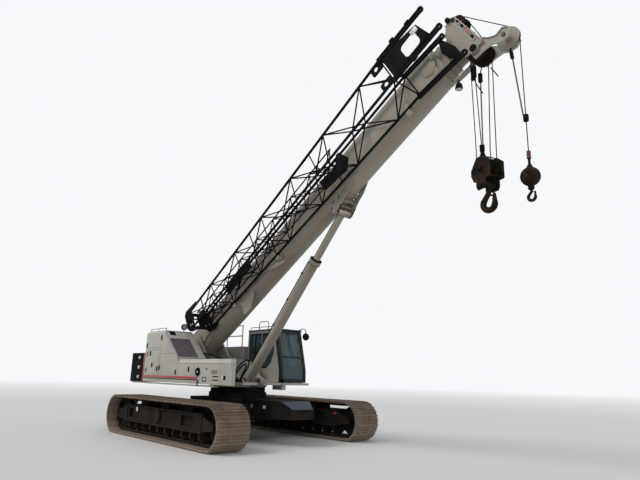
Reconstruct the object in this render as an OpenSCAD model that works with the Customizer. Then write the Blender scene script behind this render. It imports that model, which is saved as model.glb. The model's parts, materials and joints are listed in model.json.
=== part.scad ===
// Telescopic boom crawler crane, boom raised and lattice fly stowed on its right side.
// Millimetres. +X is forward, +Y is left, +Z is up.
// The origin is on the ground, on the slewing axis.

/* [Tracks] */
// Overall length of a track
track_l = 5610; // [5200:10:6000]
// Overall height of a track
track_h = 960; // [900:10:1040]
// Width of a track shoe
shoe_w = 810; // [700:10:900]
// Distance between the centre lines of the two tracks
gauge = 3950; // [3700:10:4200]
// Track centre ahead of the slewing axis
track_cx = 70; // [0:10:120]
// Number of shoes in one track
shoes = 56; // [48:1:60]
// Height of a grouser above its shoe
grouser_h = 28; // [15:1:40]
// Thickness of a shoe plate
shoe_t = 22; // [16:1:30]
// Height of the chain links under the shoes
link_h = 78; // [60:1:90]
// Bottom rollers of one track
bottom_rollers = 10; // [8:1:11]

/* [Upper] */
// Width of the upper
upper_w = 2992; // [2800:2:3200]
// Underside of the deck
deck_z = 1310; // [1280:5:1340]
// Top of the engine house
roof_z = 2707; // [2500:1:2900]
// Top of the low box ahead of the engine house
low_z = 1907; // [1800:1:2000]
// Rear face of the engine house, behind the slewing axis
house_rear = 2600; // [2400:10:2700]
// Front face of the low box
low_front = 1930; // [1800:10:2000]
// Inner side of the right house from the centre line
bay_y = 604; // [580:2:640]
// Rear face of the counterweight, behind the slewing axis
tail = 3600; // [3450:10:3700]
// Outer width of the cab
cab_w = 850; // [820:2:880]

/* [Boom] */
// Boom angle above level as it stands
luff = 31.85; // [20:0.05:60]
// Boom foot pin behind the slewing axis
foot_back = 1765; // [1700:5:1800]
// Boom foot pin above the ground
foot_z = 2403; // [2380:1:2450]
// Half width of the outer boom section
boom_hw = 270; // [250:2:285]
// Top of the outer section above the foot pin line
boom_top = 480; // [460:5:500]
// Bottom of the outer section below the foot pin line
boom_bot = 360; // [350:5:370]
// Front end of the outer section along the boom
boom_end = 10080; // [9900:10:10200]
// Plate thickness of a boom section
boom_t = 12; // [8:1:14]
// Running gap between two boom sections
boom_gap = 22; // [18:1:26]
// Lift cylinder base pin ahead of the slewing axis
lift_x = 460; // [440:5:480]
// Lift cylinder base pin above the ground
lift_z = 1420; // [1410:5:1440]
// Lift cylinder top pin along the boom
lift_a = 6320; // [6250:5:6400]
// Lift cylinder top pin below the foot pin line
lift_p = 535; // [525:1:560]
// Radius of the lift cylinder barrel
barrel_r = 125; // [110:1:135]

/* [Fly] */
// Width of the fly at its boom end
fly_w = 880; // [800:10:920]
// Height of the fly at its boom end
fly_h = 780; // [760:10:900]
// Gap between the fly and the side of the boom
fly_gap = 75; // [60:5:100]
// Bays of lacing in the fly
fly_bays = 13; // [9:1:15]
// Across flats of a chord
chord_d = 60; // [50:1:70]
// Across flats of a lacing tube
lace_d = 32; // [26:1:40]

/* [Hooks] */
// Radius at which the rope runs on a head sheave
sheave_r = 190; // [180:5:200]
// Diameter of the hoist rope
rope_d = 19; // [16:1:22]
// Drop from the head sheaves to the rope sockets over the hook block
block_drop = 2010; // [1500:10:2400]
// Turn of the hook block on its ropes
block_turn = -20; // [-25:1:25]
// Drop from the nose sheave to the ball's socket
ball_drop = 2335; // [2000:5:2800]
// Radius of the ball
ball_r = 168; // [150:2:180]

/* [Hidden] */

putty = [0.73, 0.71, 0.66];
black = [0.06, 0.06, 0.065];
rust = [0.36, 0.25, 0.19];
steel = [0.45, 0.44, 0.42];
rope_grey = [0.16, 0.15, 0.14];
glass_tint = [0.1, 0.16, 0.2, 0.5];

// Clearance between pieces that move on each other
run = 6;
// Clearance of a shaft in its boss
fit = 0.5;
// Clearance of a piece that lies on its seat
seat_gap = 0.3;

// Track loop: the links run on a line that the shoes stand off from
wrap_r = (track_h - 2 * (shoe_t + grouser_h)) / 2;
axle_z = track_h / 2;
axle_dx = track_l / 2 - track_h / 2;
loop_len = 4 * axle_dx + 2 * PI * wrap_r;
pitch = loop_len / shoes;
wheel_r = wrap_r - link_h;
track_y = gauge / 2;
frame_w = 520;
fork_gap = 380;
fork_t = 50;

half_w = upper_w / 2;
deck_t = 60;
deck_top = deck_z + deck_t;

// Engine house: roof, slanted grille panel and the low box ahead of it
slant_top_x = -1615;
slant_foot_x = -685;
house_front = -640;
house_chamfer = 75;
wall = 40;
// Grille on the slanted panel: its middle down the slope and across, then its size
grille_s = 745;
grille_y = -1120;
grille_l = 790;
grille_w = 620;

// Cab
cab_y0 = 640;
cab_y1 = cab_y0 + cab_w;
cab_z0 = 1379;
cab_top = 2786;
cab_back = -560;
cab_foot_x = 1019;
cab_head_x = 745;
cab_wall = 45;

// Bed plates that carry the boom foot
bed_y = 345;
bed_t = 40;

// Boom sections, each inside the one before it
step = boom_t + boom_gap;
bend_p = -170;
section_start = [-300, 260, 400, 540];
section_end = [boom_end, boom_end + 130, boom_end + 270, boom_end + 480];
collar_l = [110, 70, 70, 70];

// Boom head: its pins along and above the boom, from its back plate on
head_a0 = section_end[3];
head_a = head_a0 + 250;
head_p = -450;
nose_a = head_a0 + 770;
nose_p = -730;
top_a = head_a0 + 320;
top_p = 490;
head_hw = 245;
nose_arm_y = 190;
nose_arm_t = 22;
nose_r = 213;
head_pin_r = 45;
nose_pin_r = 40;
top_pin_r = 35;
foot_pin_r = 75;
lift_pin_r = 60;

// Ends of the hanging lines, in the machine's frame
function at_boom(a, p) = [-foot_back + a * cos(luff) - p * sin(luff), foot_z + a * sin(luff) + p * cos(luff)];
head_at = at_boom(head_a, head_p);
nose_at = at_boom(nose_a, nose_p);
block_x = head_at[0];
block_z = head_at[1] - block_drop;
ball_x = nose_at[0] + nose_r;
ball_z = nose_at[1] - ball_drop;

// Lift cylinder
lift_top = at_boom(lift_a, -lift_p);
lift_dx = lift_top[0] - lift_x;
lift_dz = lift_top[1] - lift_z;
lift_len = sqrt(lift_dx * lift_dx + lift_dz * lift_dz);
lift_angle = atan2(lift_dz, lift_dx);
barrel_l = 3830;
rod_r = 88;
bore_r = 102;
rod_in = 1900;
sheave_pitch = 70;
sheave_w = 52;

// Hook block: sheave axle, trunnion and cheeks, below the rope sockets
block_axle = 395;
trunnion_drop = 700;
cheek_y = 155;
cheek_t = 24;

// Ball line: middles of the ball, its swivel and the hook's curve, below the rope socket
ball_mid = 458;
swivel_mid = 655;
swivel_r = 55;
ball_hook_mid = 825;

// Plates of the lift cylinder's bracket under the boom
lift_plate_y = 235;
lift_plate_t = 30;

// Fly: side nearest the boom, and the height of its chords at the two ends
fly_y0 = -(boom_hw + fly_gap);
fly_a0 = 760;
fly_a1 = 9560;
fly_top = 440;
fly_tip_w = 620;
fly_tip_h = 545;

// Inner section of the fly, stowed inside it
cradle_a = [1560, 4240, 6930];
tip_chord = 44;
tip_a0 = 1000;
tip_a1 = 7300;
tip_w = 330;
tip_h = 330;
tip_top = 330;
tip_bays = 16;

// Brackets that the fly rests on, along the boom
bracket_a = [2150, 4250, 9100];
bracket_w = 120;

// Butt hinge of the house door, and the rails of the cab door
door_x0 = -2480;
door_x1 = -1720;
door_z0 = deck_top + 140;
door_z1 = 2180;
hinge_pin_r = 8;
hinge_z = [door_z0 + 120, door_z1 - 120];
hinge_y = -half_w - 20;
door_t = 36;
rail_h = 24;

// Winch drums, the main one first
drum_x = [-3080, -2560];
drum_z = [1700, 1720];
drum_r = 170;
flange_r = 250;
teeth = 13;

module on_boom() { translate([-foot_back, 0, foot_z]) rotate([0, -luff, 0]) children(); }

// A plate in the boom's upright plane, its thickness centred on y
module side_plate(y, t) { translate([0, y + t / 2, 0]) rotate([90, 0, 0]) linear_extrude(t) children(); }

// A round bar across the machine
module cross_pin(x, z, r, y0, y1) {
    translate([x, y0, z]) rotate([-90, 0, 0]) cylinder(r = r, h = y1 - y0, $fn = 48);
}

// A bar with flat sides between two points
module bar(p, q, d, sides = 6) {
    v = q - p;
    l = norm(v);
    translate(p) rotate([0, acos(v[2] / l), atan2(v[1], v[0])]) cylinder(d = d, h = l, $fn = sides);
}

module box(x0, x1, y0, y1, z0, z1) { translate([x0, y0, z0]) cube([x1 - x0, y1 - y0, z1 - z0]); }

// A plain outline with its corners rounded to radius r
module round_rect(x0, x1, y0, y1, r) {
    translate([x0 + r, y0]) square([x1 - x0 - 2 * r, y1 - y0]);
    translate([x0, y0 + r]) square([x1 - x0, y1 - y0 - 2 * r]);
    for (x = [x0 + r, x1 - r]) for (y = [y0 + r, y1 - r]) translate([x, y]) circle(r = r, $fn = 40);
}

// A round arm in the x-z plane from p to q whose radius goes from ra to rb
module arm(p, q, ra, rb) {
    d = q - p;
    translate([p[0], 0, p[1]]) rotate([0, atan2(d[0], d[1]), 0]) cylinder(r1 = ra, r2 = rb, h = norm(d), $fn = 32);
}

module mirrored(side) { if (side < 0) children(); else mirror([0, 1, 0]) children(); }

// Point on the track loop at length s, standing off by h
function loop_pt(s, h) =
    let (straight = 2 * axle_dx, arc = PI * wrap_r, r = wrap_r + h)
    s < straight ? [axle_dx - s, -r]
    : s < straight + arc ? let (a = (s - straight) / wrap_r * 180 / PI) [-axle_dx - r * sin(a), -r * cos(a)]
    : s < 2 * straight + arc ? [-axle_dx + (s - straight - arc), r]
    : let (a = (s - 2 * straight - arc) / wrap_r * 180 / PI) [axle_dx + r * sin(a), r * cos(a)];

// Three grousers on a shoe: place along the pitch, then height
grouser_profile = [for (g = [0.2, 0.5, 0.8]) each [[g - 0.08, 0], [g - 0.04, 1], [g + 0.04, 1], [g + 0.08, 0]]];

module shoe_outline() {
    polygon([for (i = [0:shoes - 1]) each [for (g = grouser_profile)
        loop_pt((i + g[0]) * pitch, shoe_t + g[1] * grouser_h)]]);
}

module stadium(r) {
    square([2 * axle_dx, 2 * r], center = true);
    for (s = [-1, 1]) translate([s * axle_dx, 0]) circle(r = r, $fn = 72);
}

module across(w) { rotate([90, 0, 0]) translate([0, 0, -w / 2]) linear_extrude(w) children(); }

module track(side) {
    color(rust) translate([track_cx, side * track_y, axle_z]) {
        across(shoe_w) difference() {
            shoe_outline();
            stadium(wrap_r);
        }
        for (y = [-1, 1]) translate([0, y * 95, 0]) across(46) difference() {
            stadium(wrap_r);
            stadium(wheel_r + seat_gap);
        }
    }
}

module track_frame(side) {
    color(black) translate([track_cx, side * track_y, 0]) {
        difference() {
            box(-axle_dx + 420, axle_dx - 400, -frame_w / 2, frame_w / 2, 330, 740);
            for (y = [-1, 1]) {
                // recessed side between the flanges, and two pockets in it
                box(-axle_dx + 520, axle_dx - 500, y * (frame_w / 2 + 40) - 60, y * (frame_w / 2 + 40) + 60, 390, 700);
                for (x = [-axle_dx * 0.62, axle_dx * 0.55]) box(x - 260, x + 260, y * frame_w / 2 - 90, y * frame_w / 2 + 90, 440, 650);
            }
        }
        // hub of the side frame's cross beam
        across(frame_w + 60) translate([-track_cx, 560]) circle(r = 150, $fn = 60);
        // forks that hold the idler and carry the drive
        for (y = [-1, 1]) {
            side_plate(y * (fork_gap + fork_t) / 2, fork_t) polygon([[axle_dx - 460, 360], [axle_dx + 60, 420],
                [axle_dx + 60, 540], [axle_dx - 460, 700]]);
            side_plate(y * (fork_gap + fork_t) / 2, fork_t) polygon([[-axle_dx + 480, 350], [-axle_dx - 60, 400],
                [-axle_dx - 60, 560], [-axle_dx + 480, 720]]);
        }
        // carrier skids under the upper run of the links
        for (x = [-0.48, 0, 0.48] * axle_dx) box(x - 200, x + 200, -120, 120, 740, track_h - shoe_t - grouser_h - link_h - seat_gap);
    }
}

module idler(side) {
    color(black) translate([track_cx + axle_dx, side * track_y, axle_z]) {
        across(130) circle(r = wheel_r, $fn = 72);
        across(fork_gap - 2 * seat_gap) circle(r = 60, $fn = 48);
    }
}

module drive(side) {
    color(black) translate([track_cx - axle_dx, side * track_y, axle_z]) {
        across(90) union() {
            circle(r = wheel_r - 14, $fn = 72);
            for (i = [0:teeth - 1]) rotate(360 * i / teeth) translate([wheel_r - 30, 0])
                polygon([[0, -45], [58, -16], [58, 16], [0, 45]]);
        }
        across(fork_gap - 2 * seat_gap) circle(r = 150, $fn = 60);
    }
}

module rollers(side) {
    color(black) translate([track_cx, side * track_y, 0]) for (i = [0:bottom_rollers - 1]) {
        x = -axle_dx + 560 + i * (2 * axle_dx - 1120) / (bottom_rollers - 1);
        z = shoe_t + grouser_h + link_h + seat_gap + 95;
        translate([x, 0, z]) across(250) circle(r = 95, $fn = 36);
        for (y = [-1, 1]) box(x - 50, x + 50, y * 160 - 30, y * 160 + 30, z - 40, 330);
    }
}

module carbody() {
    color(black) {
        difference() {
            union() {
                box(-900, 900, -900, 900, 520, 980);
                for (x = [-1050, 1050]) box(x - 190, x + 190, -(track_y - frame_w / 2), track_y - frame_w / 2, 470, 860);
                translate([0, 0, 980]) cylinder(r = 760, h = 130, $fn = 96);
            }
            translate([0, 0, 500]) cylinder(r = 260, h = 700, $fn = 64);
        }
        // weight box ahead of the carbody, its top falling away forward
        intersection() {
            side_plate(0, 900) polygon([[860, 580], [2700, 590], [2700, 800], [2400, 980], [860, 980]]);
            translate([0, 0, 500]) linear_extrude(600) polygon([[860, -430], [2400, -430], [2700, -310],
                [2700, 310], [2400, 430], [860, 430]]);
        }
    }
}

module slew_ring() {
    color(steel) translate([0, 0, 1110]) difference() {
        cylinder(r = 720, h = deck_z - 1110 - 60 - fit, $fn = 96);
        translate([0, 0, -1]) cylinder(r = 560, h = 300, $fn = 96);
    }
}

module bed() {
    color(putty) {
        difference() {
            union() {
                translate([0, 0, deck_z - 60]) cylinder(r = 760, h = 60, $fn = 96);
                box(-house_rear, 1100, -bay_y, bay_y, deck_z, deck_top);
                box(-tail + 300, -house_rear, -bed_y - bed_t, bed_y + bed_t, deck_z, deck_top);
            }
            // slot that the lift cylinder sinks into
            box(lift_x - 200, 1200, -170, 170, deck_z - 100, deck_top + 10);
            cross_pin(lift_x, lift_z, lift_pin_r + fit, -500, 500);
        }
        for (y = [-1, 1]) difference() {
            side_plate(y * (bed_y + bed_t / 2), bed_t) polygon([[-tail + 300, deck_top], [-tail + 300, 1800],
                [-2350, 1900], [-foot_back - 260, foot_z + 120], [-foot_back - 120, foot_z + 240],
                [-foot_back + 140, foot_z + 240], [-foot_back + 280, foot_z + 60],
                [-1100, 2050], [-200, 1920], [lift_x - 300, 1870], [lift_x - 100, 1620], [lift_x + 60, 1500],
                [lift_x + 320, 1400], [lift_x + 345, deck_z], [-tail + 300, deck_z]]);
            cross_pin(-foot_back, foot_z, foot_pin_r + fit, y * bed_y - 100, y * bed_y + 100);
            cross_pin(lift_x, lift_z, lift_pin_r + fit, y * bed_y - 100, y * bed_y + 100);
        }
    }
}

module foot_pin() {
    color(steel) cross_pin(-foot_back, foot_z, foot_pin_r, -bed_y - bed_t - 40, bed_y + bed_t + 40);
}

module lift_pin() {
    color(steel) cross_pin(lift_x, lift_z, lift_pin_r, -bed_y - bed_t - 30, bed_y + bed_t + 30);
}

// Plan of the low box, its inner front corner cut away beside the bay
module low_plan(x0) {
    polygon([[x0, -bay_y], [low_front - 1230, -bay_y], [low_front, -half_w + 96], [low_front, -half_w], [x0, -half_w]]);
}

module decks() {
    color(putty) {
        translate([0, 0, deck_z]) linear_extrude(deck_t) low_plan(-house_rear);
        box(-house_rear, 1150, bay_y, half_w, deck_z, deck_top);
        // pads under the corners of the cab
        for (x = [cab_back + 60, cab_foot_x - 160]) for (y = [cab_y0 + 60, cab_y1 - 160])
            box(x, x + 100, y, y + 100, deck_top, cab_z0);
    }
}

module counterweight() {
    color(black) for (i = [0:2]) difference() {
        box(-tail, -house_rear, -half_w + 60, half_w - 60, 1290 + i * 272, 1290 + (i + 1) * 272);
        box(-tail + 240, -house_rear + 10, -bed_y - bed_t - 60, bed_y + bed_t + 60, 1280, 2200);
    }
}

module house_profile(e) {
    polygon([[-house_rear + e, deck_top + e], [house_front - e, deck_top + e], [house_front - e, low_z - e],
        [slant_foot_x - e * 0.6, low_z - e], [slant_top_x - e * 0.4, roof_z - e], [-house_rear + e, roof_z - e]]);
}

// Outline of the house seen from the front, its outer top edge chamfered by c
module house_front_outline(c, e) {
    polygon([[-bay_y - e, deck_z], [-half_w + e, deck_z], [-half_w + e, roof_z - c], [-half_w + c + e, roof_z],
        [-bay_y - e, roof_z]]);
}

module house() {
    color(putty) difference() {
        intersection() {
            translate([0, -bay_y, 0]) rotate([90, 0, 0]) linear_extrude(half_w - bay_y) house_profile(0);
            translate([-house_rear, 0, 0]) rotate([90, 0, 90]) linear_extrude(house_rear) house_front_outline(house_chamfer, 0);
        }
        intersection() {
            translate([0, -bay_y - wall, 0]) rotate([90, 0, 0]) linear_extrude(half_w - bay_y - 2 * wall) house_profile(wall);
            translate([-house_rear, 0, 0]) rotate([90, 0, 90]) linear_extrude(house_rear) house_front_outline(house_chamfer, wall);
        }
        // opening behind the slanted grille
        on_slant(grille_s) cube([grille_l, grille_w, 300], center = true);
        box(door_x0, door_x1, -half_w - 10, -half_w + wall + 10, door_z0, door_z1);
    }
    color(putty) for (z = hinge_z) hinge_knuckle(z - 60, door_x0 - 20, hinge_pin_r + fit);
}

// Frame on the slanted panel at length s from its top edge, x down the slope
module on_slant(s) {
    slope = atan2(roof_z - low_z, slant_foot_x - slant_top_x);
    translate([slant_top_x + s * cos(slope), grille_y, roof_z - s * sin(slope)]) rotate([0, slope, 0]) children();
}

// Half a butt hinge: a knuckle with a leaf that reaches the wall at x
module hinge_knuckle(z, x, bore) {
    difference() {
        union() {
            translate([door_x0 - 4, hinge_y, z]) cylinder(r = 18, h = 59, $fn = 40);
            box(min(x, door_x0 - 4), max(x, door_x0 - 4), hinge_y - 5, hinge_y + 5, z, z + 59);
            box(x - 6, x + 6, hinge_y - 5, -half_w + 1, z, z + 59);
        }
        translate([door_x0 - 4, hinge_y, z - 1]) cylinder(r = bore, h = 61, $fn = 32);
    }
}

module house_door() {
    color(putty) {
        box(door_x0 + run, door_x1 - run, -half_w, -half_w + wall - 10, door_z0 + run, door_z1 - run);
        for (z = hinge_z) {
            hinge_knuckle(z, door_x0 + 30, hinge_pin_r);
            translate([door_x0 - 4, hinge_y, z - 62]) cylinder(r = hinge_pin_r, h = 124, $fn = 32);
        }
    }
}

module grille() {
    color([0.2, 0.17, 0.2]) on_slant(grille_s) {
        difference() {
            translate([0, 0, -22]) cube([grille_l, grille_w, 40], center = true);
            translate([0, 0, -22]) cube([grille_l - 60, grille_w - 60, 60], center = true);
        }
        for (i = [-4:4]) translate([i * grille_l / 10, 0, -22]) rotate([0, 35, 0]) cube([76, grille_w - 50, 8], center = true);
    }
}

module engine() {
    color(steel) box(-2450, -1250, -half_w + 110, -bay_y - 110, deck_top + wall, 2000);
}

module low_box() {
    color(putty) difference() {
        intersection() {
            translate([0, 0, deck_top]) linear_extrude(low_z - deck_top) low_plan(house_front);
            // the front leans back from its foot
            translate([0, -bay_y, 0]) rotate([90, 0, 0]) linear_extrude(half_w - bay_y) polygon([[house_front, deck_top],
                [low_front, deck_top], [low_front, 1480], [low_front - 80, low_z - 70], [low_front - 140, low_z], [house_front, low_z]]);
            // chamfer along the outer top edge
            translate([house_front, 0, 0]) rotate([90, 0, 90]) linear_extrude(low_front - house_front) polygon([[-bay_y, deck_top],
                [-half_w, deck_top], [-half_w, low_z - 100], [-half_w + 60, low_z], [-bay_y, low_z]]);
        }
        // round recess of the side fan, and a louvre and two slots ahead of it
        translate([430, -half_w - 1, 1600]) rotate([-90, 0, 0]) cylinder(r = 95, h = 40, $fn = 48);
        for (i = [0:4]) box(1050, 1340, -half_w - 1, -half_w + 24, 1552 + i * 22, 1564 + i * 22);
        for (z = [1402, 1482]) box(1110, 1370, -half_w - 1, -half_w + 30, z, z + 28);
    }
}

module left_hood() {
    color(putty) difference() {
        box(-house_rear, -760, bay_y, half_w - 20, deck_top, 2350);
        box(-2500, -860, half_w - 50, half_w + 10, 1500, 2200);
    }
}

module cab_side(e) {
    polygon([[cab_back + e, cab_z0 + e], [cab_foot_x - e, cab_z0 + e], [cab_foot_x - e, cab_z0 + 320],
        [cab_head_x - e, cab_top - e], [cab_back + e, cab_top - e]]);
}

module cab() {
    color(putty) difference() {
        translate([0, cab_y1, 0]) rotate([90, 0, 0]) linear_extrude(cab_w) cab_side(0);
        translate([0, cab_y1 - cab_wall, 0]) rotate([90, 0, 0]) linear_extrude(cab_w - 2 * cab_wall) cab_side(cab_wall);
        // windscreen
        box(700, 1300, cab_y0 + 40, cab_y1 - 40, cab_z0 + 90, cab_top - 80);
        // side windows towards the boom
        box(-470, 60, cab_y0 - 10, cab_y0 + 60, 1950, cab_top - 110);
        side_plate(cab_y0 + 25, 70) front_window();
        // rear window
        box(cab_back - 10, cab_back + 60, cab_y0 + 120, cab_y1 - 120, 1950, cab_top - 110);
        // door opening
        box(-30, 670, cab_y1 - 60, cab_y1 + 10, cab_z0 + 60, cab_top - 90);
        // skylight
        box(-300, 450, cab_y0 + 130, cab_y1 - 130, cab_top - 60, cab_top + 10);
    }
    // rails that the door slides on
    color(black) for (z = [cab_z0 + 40 - rail_h, cab_top - 60])
        box(cab_back + 20, 700, cab_y1, cab_y1 + run + door_t, z, z + rail_h);
}

// Side window by the driver's knees, its lower front corner cut away
module front_window() {
    polygon([[130, 1750], [330, 1750], [520, 1880], [640, 2150], [640, cab_top - 110], [130, cab_top - 110]]);
}

module cab_glass() {
    color(glass_tint) {
        box(-470, 60, cab_y0 + 18, cab_y0 + 26, 1950, cab_top - 110);
        side_plate(cab_y0 + 22, 8) front_window();
        box(cab_back + 18, cab_back + 26, cab_y0 + 120, cab_y1 - 120, 1950, cab_top - 110);
        box(-300, 450, cab_y0 + 130, cab_y1 - 130, cab_top - 30, cab_top - 22);
        translate([0, cab_y1 - 40, 0]) rotate([90, 0, 0]) linear_extrude(cab_w - 80)
            polygon([[cab_foot_x - 30, cab_z0 + 95], [cab_foot_x - 22, cab_z0 + 95], [cab_foot_x - 22, cab_z0 + 320],
                [cab_head_x + 0, cab_top - 85], [cab_head_x - 9, cab_top - 85], [cab_foot_x - 30, cab_z0 + 320]]);
    }
}

module cab_door() {
    color(putty) difference() {
        box(-60, 700, cab_y1 + run, cab_y1 + run + door_t, cab_z0 + 40 + seat_gap, cab_top - 60 - seat_gap);
        box(20, 620, cab_y1, cab_y1 + 60, 1800, cab_top - 140);
    }
}

module door_glass() { color(glass_tint) box(20, 620, cab_y1 + run + 15, cab_y1 + run + 23, 1800, cab_top - 140); }

module seat() {
    color(black) {
        box(-250, 250, cab_y0 + 180, cab_y1 - 180, 1720, 1850);
        box(-330, -210, cab_y0 + 200, cab_y1 - 200, 1850, 2450);
        box(-120, 120, cab_y0 + 300, cab_y1 - 300, cab_z0 + cab_wall, 1720);
    }
}

module console() {
    color(black) for (y = [cab_y0 + 60, cab_y1 - 160]) box(-150, 350, y, y + 100, cab_z0 + cab_wall, 1950);
}

module winch_frame() {
    color(black) for (i = [0:1]) for (y = [-1, 1])
        translate([drum_x[i], y * 320, drum_z[i]]) across(30) difference() {
            union() {
                circle(r = 110, $fn = 48);
                translate([-90, deck_top - drum_z[i]]) square([180, drum_z[i] - deck_top]);
            }
            circle(r = 50 + fit, $fn = 48);
        }
}

module drum(i) {
    color(steel) translate([drum_x[i], 0, drum_z[i]]) {
        across(520) circle(r = drum_r, $fn = 60);
        for (y = [-1, 1]) translate([0, y * 270, 0]) across(24) circle(r = flange_r, $fn = 60);
        across(676) circle(r = 50, $fn = 48);
    }
}

module rails() {
    color(putty) {
        for (x = [-2540, -2090, -1640]) bar([x, -1400, roof_z], [x, -1400, roof_z + 66], 24, 12);
        bar([-2570, -1400, roof_z + 60], [-1625, -1400, roof_z + 60], 24, 12);
    }
}

module mirrors() {
    color(black) {
        bar([-1650, -850, roof_z], [-1650, -850, roof_z + 60], 26, 12);
        translate([-1675, -850, roof_z + 130]) rotate([0, 90, 0]) cylinder(r = 85, h = 50, $fn = 40);
    }
}

// Boom section: flat top with cut corners, upright sides and a bottom bent round in five plates
module section(inset) {
    hw = boom_hw - inset;
    top = boom_top - inset;
    bot = -boom_bot + inset;
    c = 45;
    polygon([[-hw, top - c], [-hw + c, top], [hw - c, top], [hw, top - c], [hw, bend_p],
        [hw * 0.86, bend_p - (bend_p - bot) * 0.52], [hw * 0.5, bot + (bend_p - bot) * 0.12], [hw * 0.2, bot],
        [-hw * 0.2, bot], [-hw * 0.5, bot + (bend_p - bot) * 0.12],
        [-hw * 0.86, bend_p - (bend_p - bot) * 0.52], [-hw, bend_p]]);
}

module along(a0, a1) { translate([a0, 0, 0]) rotate([90, 0, 90]) linear_extrude(a1 - a0) children(); }

module tube(i) {
    along(section_start[i], section_end[i]) difference() {
        section(i * step);
        section(i * step + boom_t);
    }
}

// Stiffening band round the front end of a section
module collar(i) {
    along(section_end[i] - collar_l[i], section_end[i]) difference() {
        section(i * step - 10);
        section(i < 3 ? (i + 1) * step - seat_gap : i * step + boom_t / 2);
    }
}

// Side plate of the lift cylinder's bracket, drawn from the cylinder's top pin
module bracket_plate() {
    difference() {
        union() {
            polygon([[-170, 330], [-110, 20], [-60, -60], [40, -80], [410, 80], [610, 135], [950, 325]]);
            circle(r = 92, $fn = 60);
        }
        polygon([[-30, 250], [170, 260], [75, 170]]);
        polygon([[190, 130], [290, 165], [340, 255], [260, 255]]);
        polygon([[340, 180], [620, 262], [400, 262]]);
        polygon([[-85, 140], [20, 120], [-85, 60]]);
    }
}

module boom_outer() {
    color(putty) on_boom() difference() {
        union() {
            tube(0);
            collar(0);
            // foot cheeks
            for (y = [-1, 1]) side_plate(y * (boom_hw + 14), 30) union() {
                circle(r = 170, $fn = 60);
                polygon([[-120, 120], [500, 300], [700, -60], [0, -170]]);
            }
            // lift cylinder bracket: two plates and the ribs between them, each rib along and down from the pin
            difference() {
                union() {
                    for (y = [-1, 1]) side_plate(y * lift_plate_y, lift_plate_t) translate([lift_a, -lift_p]) bracket_plate();
                    for (rib = [[125, 45], [275, 60], [440, 115]])
                        box(lift_a + rib[0], lift_a + rib[0] + 16, -lift_plate_y, lift_plate_y, -lift_p + rib[1], -lift_p + 330);
                }
                along(lift_a - 300, lift_a + 1100) section(boom_t / 2);
            }
        }
        cross_pin(0, 0, foot_pin_r + fit, -400, 400);
    }
    // ends of the top pin, outside the bracket
    color(steel) on_boom() for (y = [-1, 1])
        translate([lift_a, y * (lift_plate_y + lift_plate_t / 2 + 10), -lift_p]) across(20) circle(r = 62, $fn = 48);
}

// Underside of the fly's shoe on a bracket
function shoe_p(a) = fly_p(a, 1) - chord_d / 2 - 30;

module fly_brackets() {
    color(putty) on_boom() {
        for (a = bracket_a)
            along(a - bracket_w / 2, a + bracket_w / 2) polygon([[-boom_hw, bend_p + 120], [-boom_hw, bend_p],
                [-boom_hw - 15, shoe_p(a) - 60], [fly_y0 - chord_d, shoe_p(a) - 60], [fly_y0 - chord_d, shoe_p(a) - seat_gap],
                [-boom_hw - 50, shoe_p(a) - seat_gap], [-boom_hw - 50, bend_p + 120]]);
        // rail that the fly swings on, and the feet that hold it off the boom
        side_plate(-boom_hw - 48, 30) polygon([[2000, 30], [2900, 0], [3600, -100], [4200, -330], [4380, -440],
            [4330, -470], [4050, -400], [3600, -165], [2900, -60], [2000, -40]]);
        for (foot = [[2060, -10], [2860, -35], [3540, -125]])
            box(foot[0], foot[0] + 90, -boom_hw - 40, -boom_hw, foot[1] - 15, foot[1] + 15);
        // deep plate near the boom foot
        side_plate(-boom_hw - 25, 22) polygon([[2090, 0], [2400, -270], [2930, -280], [2930, -360], [2620, -630],
            [2330, -630], [2330, -330], [2060, -120]]);
    }
}

// Corners of the fly's four chords at station a: the side nearest the boom first
function fly_f(a) = (a - fly_a0) / (fly_a1 - fly_a0);
function fly_y(a, far) = fly_y0 - chord_d / 2 - far * ((fly_tip_w + (fly_w - fly_tip_w) * fly_f(a)) - chord_d);
function fly_p(a, low) = fly_top - chord_d / 2 - low * ((fly_tip_h + (fly_h - fly_tip_h) * fly_f(a)) - chord_d);
function fly_at(a, far, low) = [a, fly_y(a, far), fly_p(a, low)];

fly_ring = [[0, 0], [1, 0], [1, 1], [0, 1]];

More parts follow.
